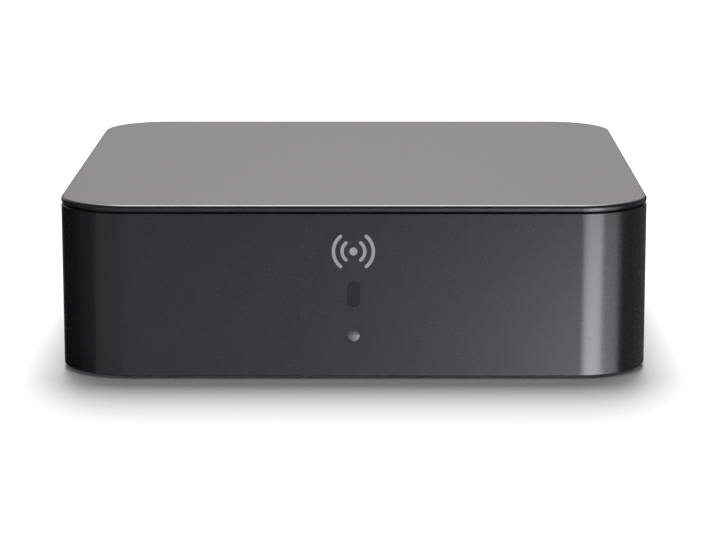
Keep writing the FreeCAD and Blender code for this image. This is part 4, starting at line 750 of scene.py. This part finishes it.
def frontSign(middle, dot, waves, stroke, spread, ink, arcSteps, endSteps):
    # each wave is a band of four-sided faces with round ends, and the dot a disc
    shape = bmesh.new()
    front = cadLow[1] / mm

    def band(inner, outer):
        rings = []
        for near, far in zip(inner, outer):
            corners = ((near, 0), (near, ink), (far, ink), (far, 0))
            rings.append([(x, front - depth, middle + z) for (x, z), depth in corners])
        skinned(shape, rings)

    for radius in waves:
        for side in (0, math.pi):
            inner, outer = [], []
            for step in range(-arcSteps - endSteps, arcSteps + endSteps + 1):
                past = min(max(abs(step) - arcSteps, 0), endSteps) / endSteps * math.pi / 2
                reach = math.radians(spread) * min(abs(step), arcSteps) / arcSteps
                reach += math.sin(past) * stroke / 2 / radius
                angle = side + math.copysign(reach, step)
                width = stroke / 2 * max(math.cos(past), 0.02)
                for line, r in ((inner, radius - width), (outer, radius + width)):
                    line.append((r * math.cos(angle), r * math.sin(angle)))
            band(inner, outer)
    halves = [math.pi * (step / 16 - 0.5) for step in range(17)]
    left, right = (
        [(side * (dot * math.cos(a) + 0.001), dot * math.sin(a)) for a in halves]
        for side in (-1, 1)
    )
    band(left, right)
    bmesh.ops.recalc_face_normals(shape, faces=shape.faces)
    return meshOf(shape, "frontSign")


seat(meshObject("frontSign", frontSign(**signSizes), signInk), "sleeve", "insert_white")
print("case ready")


def screwProfile(length, shank, headRadius, headHeight, pitch):
    # the shank with its thread, then the pan head; the height runs from tip to head
    neck, root, crown = length - headHeight, shank * 0.8, headHeight * 0.75
    points = [(0, 0), (shank * 0.45, 0)]
    rise = pitch
    while rise < neck - pitch:
        points += [(root, rise - pitch * 0.45), (shank, rise)]
        rise += pitch
    points += [(root, neck - 0.4), (root, neck), (headRadius - 0.1, neck)]
    points += [(headRadius, neck + 0.12), (headRadius, neck + crown * 0.75)]
    points += [(headRadius * 0.93, neck + crown), (headRadius * 0.72, length - 0.06)]
    return points + [(headRadius * 0.45, length), (0, length)]


# facing, shank radius, head radius and height, thread pitch, and the cross's reach, width, depth
screwSets = {
    "case_screws": ("-Z", (1.5, 2.7, 0.9, 1.0), (1.5, 0.34, 0.6)),
    "bay_screws": ("-Z", (1.5, 2.7, 0.9, 1.0), (1.5, 0.34, 0.6)),
    "board_screws": ("+Z", (1.2, 2.4, 1.5, 0.9), (1.35, 0.32, 1.0)),
    "front_board_screws": ("+Y", (0.9, 1.7, 1.0, 0.8), (0.95, 0.24, 0.65)),
    "panel_screw": ("+Y", (1.3, 2.6, 1.2, 0.9), (1.45, 0.34, 0.85)),
}
for node, (facing, sizes, cross) in screwSets.items():
    low, high = solidBoxes(node)[0]
    length = round((high - low)["XYZ".index(facing[1])] / mm, 3)
    profile = screwProfile(length, *sizes)
    turned(node + "Turned", node, facing, profile, 24, zincSteel, (length, *cross))
print("screws ready")

# outlines of the sockets' turned pieces: radius and height from the end inside the case
outlines = {
    "barrel": [(3.55, 0), (3.95, 0), (3.95, 3.6), (4.15, 3.65), (4.15, 5.2), (4.02, 5.3)]
    + [(4.02, 5.5), (4.15, 5.6), (4.15, 10.75), (4.08, 10.93), (3.95, 11)]
    + [(3.72, 11), (3.6, 10.93), (3.55, 10.8), (3.55, 0)],
    "insert": [(1.9, 0), (3.55, 0), (3.55, 10.3), (3.45, 10.4), (2.9, 10.4), (2.75, 10.3)]
    + [(2.45, 10.3), (2.3, 10.38), (2.1, 10.3), (1.9, 10.05), (1.9, 0)],
    "contact": [(1.6, 0), (1.9, 0), (1.9, 8.9), (1.84, 9), (1.72, 9), (1.6, 8.75), (1.6, 0)],
    "pin": [(0, 0), (1.2, 0), (1.2, 8.9)] + dome(1.2, 8.9, 1.1, (0.35, 0.7, 1.0, 1.25, 1.42)),
}
socketSets = {
    "phonoBarrels": ("phono_barrels", "barrel", 48, nickelPlate),
    "phono_inserts_whiteTurned": ("phono_inserts_white", "insert", 48, insertWhite),
    "phono_inserts_redTurned": ("phono_inserts_red", "insert", 48, insertRed),
    "phonoContacts": ("phono_contacts", "contact", 32, nickelPlate),
    "inletPins": ("inlet_pins", "pin", 32, nickelPlate),
}
for name, (node, outline, segments, material) in socketSets.items():
    turned(name, node, "+Y", outlines[outline], segments, material)
print("phono sockets ready")

# electrolytic capacitors: their radius and height, and the share of the radius inside the rim
canSets = {
    "reservoir_capacitor": (7.0, 22.0),
    "filter_capacitors": (3.1, 9.0),
    "smoothing_capacitors": (4.0, 15.0),
}
canRim = 0.8


def canProfile(radius, height, rim):
    # the sleeve with the crimp near its foot, turned over the rim at the top
    points = [(0, 0), (radius - 0.6, 0), (radius - 0.15, 0.12), (radius, 0.5), (radius, 1.5)]
    points += [(radius - 0.18, 1.7), (radius - 0.32, 2.0), (radius - 0.18, 2.3), (radius, 2.5)]
    points += [(radius, height - 0.7), (radius - 0.12, height - 0.3)]
    points += [(radius - 0.4, height - 0.05), (rim + 0.2, height), (rim, height - 0.05)]
    return points + [(rim, height - 0.3), (0, height - 0.3)]


def lidProfile(radius, height):
    # the lid that is scored with a cross, a little below the rim
    return [(0, height - 0.6), (radius, height - 0.6), (radius, height - 0.12), (0, height - 0.12)]


for node, (radius, height) in canSets.items():
    rim = radius * canRim
    sleeve, lid = canProfile(radius, height, rim), lidProfile(rim - 0.02, height)
    turned(node + "Sleeves", node, "+Z", sleeve, 48, capacitorSleeve)
    score = (height - 0.1, radius * 0.62, 0.22, 0.25)
    turned(node + "Lids", node, "+Z", lid, 48, canAluminium, score, beside="sink_aluminium")
print("capacitors ready")

transformerSizes = {
    "rail": 0.6,
    "flange": 1.2,
    "topFlange": 0.8,
    "flangeEdge": (0.8, 0.15),
    "coilInset": 0.55,
    "coilCorner": 3.2,
    "tapeWidth": 2.3,
    "lap": 0.09,
    "pins": 4,
    "pinInset": (1.6, 1.0),
}


def transformerParts(
    rail, flange, topFlange, flangeEdge, coilInset, coilCorner, tapeWidth, lap, pins, pinInset
):
    # a bobbin between two flanges, the coil under turns of overlapping tape, and its pins
    node = "transformer_winding"
    low, high = boxInMm(node)
    foot, roof = low.z + rail + flange, high.z - topFlange
    bobbin = bmesh.new()
    for bottom, top in ((low.z + rail, foot), (roof, high.z)):
        softBlock(bobbin, (low.x, low.y, bottom), (high.x, high.y, top), *flangeEdge)
    finished(bobbin, node, socketPbt, name="transformerBobbin", beside="socket_plastic")
    stations, place = [], foot - 0.02
    while place < roof:
        upper = min(place + tapeWidth, roof + 0.02)
        for end, inset in ((place, coilInset), (upper, coilInset - lap)):
            stations.append((end, inset, coilCorner))
        place = upper
    coil = roundedStack(bmesh.new(), 2, *spanOf(low, high), stations)
    finished(coil, node, windingTape, turn=34)
    starts = []
    for number in range(pins):
        x = low.x + pinInset[0] + number * (high.x - low.x - 2 * pinInset[0]) / (pins - 1)
        starts += [Vector((x, y, low.z)) * mm for y in (low.y + pinInset[1], high.y - pinInset[1])]
    profile = [(0, 0), (0.65, 0), (0.5, 0.3), (0.36, rail + 0.2), (0, rail + 0.2)]
    pinLook = {"starts": starts, "beside": "tin_plate"}
    turned("transformerPins", node, "+Z", profile, 12, tinPlate, **pinLook)


transformerParts(**transformerSizes)
dress("transformer_core", ferriteCore, 0.3)

chokeSizes = {
    "foot": 1.5,
    "flange": 0.8,
    "flangeEdge": (1.2, 0.2),
    "yoke": 1.9,
    "yokeDepth": 5.5,
    "yokeInset": 0.2,
    "coilGap": 0.15,
    "windings": 16,
    "wire": 0.3,
}


def chokeParts(foot, flange, flangeEdge, yoke, yokeDepth, yokeInset, coilGap, windings, wire):
    # two coils side by side on one bobbin, under the yoke of the ferrite core
    node = "mains_choke"
    low, high = boxInMm(node)
    middle, quarter = (low + high) / 2, (high.x - low.x) / 4
    start, roof, shelf = low.z + foot, high.z - yoke - flange, high.z - yoke
    bobbin = bmesh.new()
    for bottom, top in ((low.z, start), (roof, shelf)):
        softBlock(bobbin, (low.x, low.y, bottom), (high.x, high.y, top), *flangeEdge)
    finished(bobbin, node, socketPbt, name="chokeBobbin", beside="socket_plastic")
    near = (low.x + yokeInset, middle.y - yokeDepth / 2, shelf)
    far = (high.x - yokeInset, middle.y + yokeDepth / 2, high.z)
    core = softBlock(bmesh.new(), near, far, 0.6, 0.25)
    finished(core, node, ferriteCore, name="chokeYoke", beside="ferrite")
    inner, length = quarter - coilGap - wire, roof - start
    profile = [(0, -0.05), (inner, -0.05)]
    for number in range(windings):
        for share in (0.25, 0.5, 0.75, 1):
            ridge = inner + wire * math.sin(math.pi * share)
            profile.append((ridge, (number + share) * length / windings))
    profile += [(inner, length + 0.05), (0, length + 0.05)]
    starts = [Vector((middle.x + side * quarter, middle.y, start)) * mm for side in (-1, 1)]
    turned("chokeCoils", node, "+Z", profile, 32, enamelledCopper, starts=starts)


chokeParts(**chokeSizes)

suppressorSizes = {
    "feet": 0.6,
    "footWidth": 1.6,
    "footInset": (0.8, 0.4),
    "corner": 0.9,
    "rim": 0.7,
}


def suppressorShape(feet, footWidth, footInset, corner, rim):
    # the boxed suppressor on its two moulded feet, which run up into it
    low, high = boxInMm("suppressor")
    shape = softBlock(bmesh.new(), (low.x, low.y, low.z + feet), high, corner, rim, steps=4)
    for x in (low.x + footInset[0], high.x - footInset[0] - footWidth):
        near = (x, low.y + footInset[1], low.z)
        far = (x + footWidth, high.y - footInset[1], low.z + feet + rim + 0.05)
        softBlock(shape, near, far, 0.3, 0.1)
    return shape


finished(suppressorShape(**suppressorSizes), "suppressor", yellowEpoxy)

sinkSizes = {"corner": 1.5, "rim": 0.25}
plate = softBlock(bmesh.new(), *boxInMm("power_heat_sink"), **sinkSizes, axis=0)
finished(plate, "power_heat_sink", sinkAluminium)

fuseSizes = {
    "radius": 2.6,
    "cap": 5.0,
    "glass": 2.4,
    "wall": 0.5,
    "wire": 0.14,
    "clip": 2.6,
    "clipInset": 0.6,
    "clipFoot": 1.5,
    "sheet": 0.25,
}


def bentStrip(shape, line, thickness, start, end):
    # sheet metal that follows a line in the plane across Y, from one y to another
    rings = []
    for index, (x, z) in enumerate(line):
        before, after = line[max(index - 1, 0)], line[min(index + 1, len(line) - 1)]
        way = Vector((after[0] - before[0], after[1] - before[1])).normalized()
        side = Vector((-way.y, way.x)) * thickness / 2
        corners = ((1, start), (1, end), (-1, end), (-1, start))
        rings.append([(x + s * side.x, y, z + s * side.y) for s, y in corners])
    return skinned(shape, rings)


def fuseParts(radius, cap, glass, wall, wire, clip, clipInset, clipFoot, sheet):
    # a glass tube with its wire between two end caps, held by a spring clip at each end
    low, high = boxInMm("fuse")
    x, z, length = (low.x + high.x) / 2, high.z - radius, high.y - low.y
    start, far = Vector((x, low.y, z)) * mm, Vector((x, high.y, z)) * mm
    tube = [(glass - wall, 0.8), (glass, 0.8), (glass, length - 0.8), (glass - wall, length - 0.8)]
    turned("fuseGlass", "fuse", "+Y", tube + tube[:1], 40, fuseGlass, starts=[start])
    capProfile = [(0, 0), (radius - 0.3, 0), (radius - 0.08, 0.1), (radius, 0.35)]
    capProfile += [(radius, cap - 0.1), (radius - 0.06, cap), (glass + 0.03, cap)]
    capProfile += [(glass + 0.03, 0.6), (0, 0.6)]
    wireProfile = [(0, 0.5), (wire, 0.5), (wire, length - 0.5), (0, length - 0.5)]
    for name, facing, profile, segments, material, place in (
        ("fuseCapFront", "+Y", capProfile, 40, nickelPlate, start),
        ("fuseCapBack", "-Y", capProfile, 40, nickelPlate, far),
        ("fuseWire", "+Y", wireProfile, 8, tinPlate, start),
    ):
        seating = {"starts": [place], "beside": "nickel_plate"}
        turned(name, "fuse", facing, profile, segments, material, **seating)
    clips = bmesh.new()
    bow = radius + sheet / 2 + 0.02
    arc = [math.radians(degrees) for degrees in range(180, 361, 10)]
    line = [(x + bow * math.cos(a), z + bow * math.sin(a)) for a in arc]
    lips = [(x + side * (bow + 0.25), z + bow * 0.8) for side in (-1, 1)]
    line = lips[:1] + line + lips[1:]
    for place in (low.y + clipInset, high.y - clipInset - clip):
        bentStrip(clips, line, sheet, place, place + clip)
        near, end = (x - clipFoot, place, low.z), (x + clipFoot, place + clip, z - bow)
        softBlock(clips, near, end, 0.2, 0.06)
    bmesh.ops.recalc_face_normals(clips, faces=clips.faces)
    finished(clips, "fuse", tinPlate, turn=40, name="fuseClips", beside="tin_plate")


fuseParts(**fuseSizes)
print("mains side ready")

headerSizes = {"wall": 0.7, "corner": 0.6, "depth": 3.4, "plugGap": 0.2, "plugTop": 0.25}


def headerParts(wall, corner, depth, plugGap, plugTop):
    # open-topped headers, each with the harness's plug in it
    headers, plugs = bmesh.new(), bmesh.new()
    for low, high in ((low / mm, high / mm) for low, high in solidBoxes("supply_headers")):
        levels = [(0.1, low.z), (0, low.z + 0.1), (0, high.z - 0.15), (0.15, high.z)]
        levels += [(wall - 0.12, high.z), (wall, high.z - 0.12), (wall, high.z - depth)]
        stations = [(z, inset, max(corner - inset, 0.1)) for inset, z in levels]
        roundedStack(headers, 2, *spanOf(low, high), stations)
        room = wall + plugGap
        near = (low.x + room, low.y + room, high.z - depth + 0.05)
        far = (high.x - room, high.y - room, high.z - plugTop)
        softBlock(plugs, near, far, 0.3, 0.15)
    finished(headers, "supply_headers", tonguePbt)
    finished(plugs, "supply_harness", socketPbt, name="harnessPlugs", beside="socket_plastic")


headerParts(**headerSizes)

harnessSizes = {"radius": 0.6, "bend": 2.4, "wires": 6, "seated": 0.8, "sides": 14}


def harnessWires(radius, bend, wires, seated, sides):
    # round wires side by side, up out of one plug, over the gap and down into the other: half
    # of them are red, and stand for the harness, and half are black
    low, high = boxInMm("supply_harness")
    left, right, roof = low.x + radius, high.x - radius, high.z - radius
    pitch = (high.y - low.y - 2 * radius) / (wires - 1)
    share = wires // 2
    for name, material, first, beside in (
        ("harnessWiresRed", wireRed, 0, None),
        ("harnessWiresBlack", leadBlack, share, "lead_insulation"),
    ):
        y, foot = low.y + radius + first * pitch, low.z - seated
        corners = [(left, y, foot), (left, y, roof), (right, y, roof), (right, y, foot)]
        host = pointsMesh(name, [Vector(c) * mm for c in corners], [(0, 1), (1, 2), (2, 3)])
        settings = {"Bend": bend * mm, "Radius": radius * mm, "Sides": sides, "Count": share}
        settings.update({"Step": (0, pitch * mm, 0), "Finish": material})
        seat(grown(name, host, sideBySideWires, settings), "supply_harness", beside)


harnessWires(**harnessSizes)
print("harness ready")

chipLegSizes = {"pitch": 0.65, "legs": 11, "width": 0.3, "sheet": 0.12, "rise": 0.5, "reach": 0.95}


def chipLegs(pitch, legs, width, sheet, rise, reach):
    # gull-wing legs round each flat chip, down to the board
    line = [(-0.1, rise), (reach * 0.3, rise), (reach * 0.55, 0), (reach, 0)]
    corners = ((0, -width / 2), (0, width / 2), (1, width / 2), (1, -width / 2))
    rings = [[(x + up * sheet * 0.3, y, z + up * sheet) for up, y in corners] for x, z in line]
    shape = skinned(bmesh.new(), rings)
    bmesh.ops.recalc_face_normals(shape, faces=shape.faces)
    leg, places = meshOf(shape, "chipLeg"), []
    for low, high in solidBoxes("signal_chips"):
        middle, half = (low + high) / 2, (high.x - low.x) / 2
        for side in range(4):
            turn = side * math.pi / 2
            outward = Vector((math.cos(turn), math.sin(turn), 0))
            along = Vector((-outward.y, outward.x, 0))
            for number in range(legs):
                point = middle + outward * half + along * (number - (legs - 1) / 2) * pitch * mm
                point.z = low.z
                places.append((point, (0, 0, turn), (1, 1, 1)))
    repeated("chipLegs", "signal_chips", leg, places, tinPlate, beside="tin_plate")


chipLegs(**chipLegSizes)

# chip parts in rows on the main board; edges are the bare strips at its left and right, its
# front and its back
smallPartSizes = {
    "length": 1.6,
    "width": 0.8,
    "height": 0.55,
    "end": 0.32,
    "pitch": 1.5,
    "rows": 110,
    "inRow": 5,
    "margin": 1.3,
    "edges": (3, 6, 4),
    "seed": 4,
}


def blockMesh(name, low, high, corner, rim):
    # a small block that is repeated many times, so it has few faces
    return meshOf(softBlock(bmesh.new(), low, high, corner, rim, steps=1, cornerSteps=1), name)


def smallParts(length, width, height, end, pitch, rows, inRow, margin, edges, seed):
    # rows of chip capacitors and resistors, clear of everything else that stands on the board
    low, high = boxInMm("main_board")
    top = high.z
    taken = []
    for node in cadNodes:
        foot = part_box(node)[0].z / mm
        if top - 0.2 < foot < top + 1 or node == "board_screws":
            taken += [(box[0] / mm, box[1] / mm) for box in solidBoxes(node)]

    def isFree(x, y):
        inside = low.x + edges[0] < x < high.x - edges[0]
        inside = inside and low.y + edges[1] < y < high.y - edges[2]
        return inside and all(
            not (a.x - margin < x < b.x + margin and a.y - margin < y < b.y + margin)
            for a, b in taken
        )

    pick = random.Random(seed)
    kinds = ([], [])
    for row in range(rows):
        x, y = round(pick.uniform(low.x, high.x)), round(pick.uniform(low.y, high.y))
        lengthwise = pick.random() < 0.5
        for number in range(pick.randint(2, inRow)):
            place = (x + number * pitch, y) if lengthwise else (x, y + number * pitch)
            if isFree(*place):
                point = Vector((*place, top))
                turn = math.pi / 2 if lengthwise else 0
                kinds[row % 2].append((point * mm, (0, 0, turn), (1, 1, 1)))
                taken.append((point, point))
    x, y = length / 2 - 0.02, width / 2 - 0.02
    for name, places, material in (
        ("chipCapacitors", kinds[0], chipCeramic),
        ("chipResistors", kinds[1], chipFilm),
    ):
        body = blockMesh(name, (-x, -y, 0), (x, y, height - 0.03), 0.05, 0.03)
        repeated(name, "main_board", body, places, material, beside="chip_resin")
    ends = []
    for point, turn, stretch in kinds[0] + kinds[1]:
        along = Vector((math.cos(turn[2]), math.sin(turn[2]), 0)) * (length - end) / 2 * mm
        ends += [(point + along, turn, stretch), (point - along, turn, stretch)]
    cap = blockMesh("chipEnd", (-end / 2, -width / 2, 0), (end / 2, width / 2, height), 0.06, 0.05)
    repeated("chipEnds", "main_board", cap, ends, tinPlate, beside="tin_plate")
    print("small parts:", len(kinds[0]) + len(kinds[1]))


smallParts(**smallPartSizes)

# the bus socket's four gold contacts, on the open side of its tongue
busContactSizes = {
    "width": 1.0,
    "length": 7.4,
    "proud": 0.12,
    "steps": (-3.5, -1.0, 1.0, 3.5),
    "side": 2.5,
    "setback": 1.2,
}


def busContacts(width, length, proud, steps, side, setback):
    low, high = boxInMm("bus_tongue")
    strip = blockMesh("busContact", (-0.1, -length, -width / 2), (proud, 0, width / 2), 0.03, 0.03)
    middle, places = (low.z + high.z) / 2, []
    for step in steps:
        point = Vector((low.x + side, high.y - setback, middle + step)) * mm
        places.append((point, (0, 0, 0), (1, 1, 1)))
    repeated("busContacts", "bus_tongue", strip, places, goldPlate, beside="gold_plate")


busContacts(**busContactSizes)

# plugs of the aerial leads, pressed on the wireless module
leadPlugSizes = {"radius": 1.25, "height": 1.35, "front": 2.7, "left": 3.0, "right": 1.5}


def leadPlugs(radius, height, front, left, right):
    low, high = boxInMm("wireless_module")
    profile = [(0, 0), (radius, 0), (radius, height * 0.55), (radius - 0.15, height * 0.65)]
    profile += [(radius - 0.15, height - 0.15), (radius - 0.35, height), (0, height)]
    starts = [Vector((x, low.y + front, high.z)) * mm for x in (low.x + left, high.x - right)]
    seating = {"starts": starts, "beside": "gold_plate"}
    turned("leadPlugs", "aerial_leads", "+Z", profile, 28, goldPlate, **seating)


leadPlugs(**leadPlugSizes)

# the status light: a white case, with a domed lens of phosphor in its face
lightSizes = {"case": 0.75, "lens": 1.05, "corner": 0.3, "rim": 0.08}


def statusLight(case, lens, corner, rim):
    low, high = boxInMm("status_light")
    face = high.y - case
    block = softBlock(bmesh.new(), (low.x, face, low.z), high, corner, rim, axis=1)
    finished(block, "status_light", insertWhite)
    rise = face - low.y - 0.15
    profile = [(0, 0), (lens, 0)] + dome(lens, 0.15, rise, (0, 0.3, 0.6, 0.9, 1.2, 1.4))
    start = Vector(((low.x + high.x) / 2, face, (low.z + high.z) / 2)) * mm
    seating = {"starts": [start], "beside": "light_diffuser"}
    turned("statusLens", "status_light", "-Y", profile, 32, phosphorSilicone, **seating)


statusLight(**lightSizes)
print("small parts ready")

# CAD nodes whose shape stays: each with its material and its soft edge in millimetres
dressed = {
    "front_board": (boardUpright, 0),
    "main_board": (boardFlat, 0),
    "power_board": (boardFlat, 0),
    "wireless_module": (boardFlat, 0),
    "infrared_receiver": (smokedPolycarbonate, 0.12),
    "ribbon_sockets": (tonguePbt, 0.2),
    "ribbon": (ribbonFilm, 0),
    "phono_block": (socketPbt, 0.2),
    "network_socket": (socketPbt, 0.15),
    "network_shield": (tinPlate, 0.12),
    "network_contacts": (goldPlate, 0.08),
    "bus_shell": (tinPlate, 0.12),
    "bus_tongue": (tonguePbt, 0.1),
    "optical_socket": (socketPbt, 0.15),
    "optical_flap": (socketPbt, 0.1),
    "optical_emitter": (insertRed, 0.1),
    "trigger_jack": (socketPbt, 0.15),
    "setup_button": (buttonAbs, 0.25),
    "setup_switch": (socketPbt, 0.15),
    "inlet_socket": (socketPbt, 0.2),
    "processor": (chipResin, 0.12),
    "thermal_pad": (padSilicone, 0.3),
    "heat_sink": (sinkAluminium, 0.12),
    "wireless_shield": (tinPlate, 0.2),
    "aerials": (aerialFilm, 0),
    "aerial_leads": (leadBlack, 0),
    "signal_chips": (chipResin, 0.12),
    "insulation_sheet": (insulationFilm, 0),
}
for node, look in dressed.items():
    dress(node, *look)
print("board pieces ready")

studio = {
    "floorSize": 6.0,
    "floorColour": "#ededed",
    "surround": 0.1,
    "cameraPlace": (0.0060, -0.6992, 0.1521),
    "cameraPitch": 11.27,
    "lens": 135.5,
    "sensor": 36,
    "shiftX": -0.0289,
}
# place, the point that it faces, width and height in metres, and the brightness of its face,
# where 1 is white paper in this light
lamps = {
    "overhead": ((0, 0.64, 1.09), (0, 0.085, 0), 0.6, 1.22, 12.3),
    "frontFill": ((0, -1.3, 0.9), (0, -0.05, 0), 1.6, 0.8, 0.45),
    # lights the far floor in the views from behind
    "farFill": ((0, -2.0, 1.8), (0, -1.9, 0), 5.0, 1.6, 0.75),
}
# the same, then the tint, and the brightness of its foot where that differs
cards = {
    "backCard": ((0, 1.8, 0.5), (0, 0, 0.1), 4.0, 1.2, 0.65, "#fffafc"),
    "frontCard": ((-0.5, -1.8, -0.55), (-0.4, 0, 0), 4.4, 0.9, 0.66, "#f0f0ff"),
    "stripCard": ((0.47, -0.928, -0.56), (0.05, -0.06, 0.02), 0.66, 1.0, 9.7, "#f6f6ff", 13.4),
    "stripEdge": ((0.93, -0.6, -0.56), (0.05, -0.06, 0.02), 0.5, 1.0, 3.4, "#f6f6ff"),
    # keeps the two bright cards out of the flat right side, which the views from behind look at
    "sideFlag": ((0.168, -0.052, -0.19), (0.168, 0.5, -0.19), 0.19, 0.5, 0.15, "#f6f6ff"),
    "leftFlag": ((-0.95, 0.45, -0.25), (0, 0, 0), 1.2, 0.9, 0.0),
    "rightFlag": ((0.75, 0.9, -0.25), (0, 0, 0), 0.9, 0.9, 0.0),
}


def flatMesh(name, width, height):
    mesh = bpy.data.meshes.new(name)
    x, y = width / 2, height / 2
    mesh.from_pydata([(-x, -y, 0), (x, -y, 0), (x, y, 0), (-x, y, 0)], [], [(0, 1, 2, 3)])
    return mesh


def aimed(thing, place, target):
    # puts a lamp or card at its place, facing the target
    thing.location = place
    aim = Vector(target) - Vector(place)
    thing.rotation_mode = "QUATERNION"
    thing.rotation_quaternion = aim.to_track_quat("-Z", "Y")


def softbox(name, place, target, width, height, glow):
    # a soft lamp; only the overhead one shows in reflections
    light = bpy.data.lights.new(name, "AREA")
    light.shape = "RECTANGLE"
    light.size, light.size_y = width, height
    light.energy = glow * math.pi * width * height
    lamp = bpy.data.objects.new(name, light)
    bpy.context.scene.collection.objects.link(lamp)
    lamp.visible_glossy = name == "overhead"
    aimed(lamp, place, target)


def card(name, place, target, width, height, glow, tint="#ffffff", foot=None):
    # a card that only shows in the reflections on the object: bright, black, or brighter at
    # its foot
    emission = {"Emission Color": linearColour(tint), "Emission Strength": glow}
    unlit = {"Base Color": (0, 0, 0, 1), "Specular IOR Level": 0.0}
    paint, tree, shader = newMaterial(name, {**unlit, **emission})
    if foot:
        spot = addNode(tree, "ShaderNodeTexCoord", output="Object")
        down = addNode(tree, "ShaderNodeSeparateXYZ", {}, {0: spot}, 1)
        limits = {"From Min": height / 2, "From Max": 0.0, "To Min": glow, "To Max": foot}
        ramp = addNode(tree, "ShaderNodeMapRange", limits, {"Value": down})
        tree.links.new(ramp, shader.inputs["Emission Strength"])
    paint.cycles.emission_sampling = "NONE"
    board = meshObject(name, flatMesh(name, width, height), paint)
    aimed(board, place, target)
    board.visible_camera = board.visible_diffuse = board.visible_shadow = False
    board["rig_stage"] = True


paperLook = {
    "Base Color": linearColour(studio["floorColour"]),
    "Roughness": 0.8,
    "Specular IOR Level": 0.2,
}
paper = newMaterial("seamlessPaper", paperLook)[0]
floor = meshObject("floor", flatMesh("floor", studio["floorSize"], studio["floorSize"]), paper)
floor.visible_glossy = False
floor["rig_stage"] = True

world = bpy.data.worlds.new("studio")
bpy.context.scene.world = world
world.use_nodes = True
background = world.node_tree.nodes["Background"]
background.inputs["Color"].default_value = (1, 1, 1, 1)
background.inputs["Strength"].default_value = studio["surround"]

for name, settings in lamps.items():
    softbox(name, *settings)
for name, settings in cards.items():
    card(name, *settings)

camera = bpy.data.objects.new("camera", bpy.data.cameras.new("camera"))
camera.data.lens = studio["lens"]
camera.data.sensor_width = studio["sensor"]
camera.data.shift_x = studio["shiftX"]
camera.data.clip_start = 0.05
camera.location = studio["cameraPlace"]
camera.rotation_euler = (math.radians(90 - studio["cameraPitch"]), 0, 0)
bpy.context.scene.collection.objects.link(camera)
bpy.context.scene.camera = camera
bpy.context.scene.view_settings.view_transform = "Standard"
bpy.context.scene.view_settings.look = "None"
print("studio ready")

low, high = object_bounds()
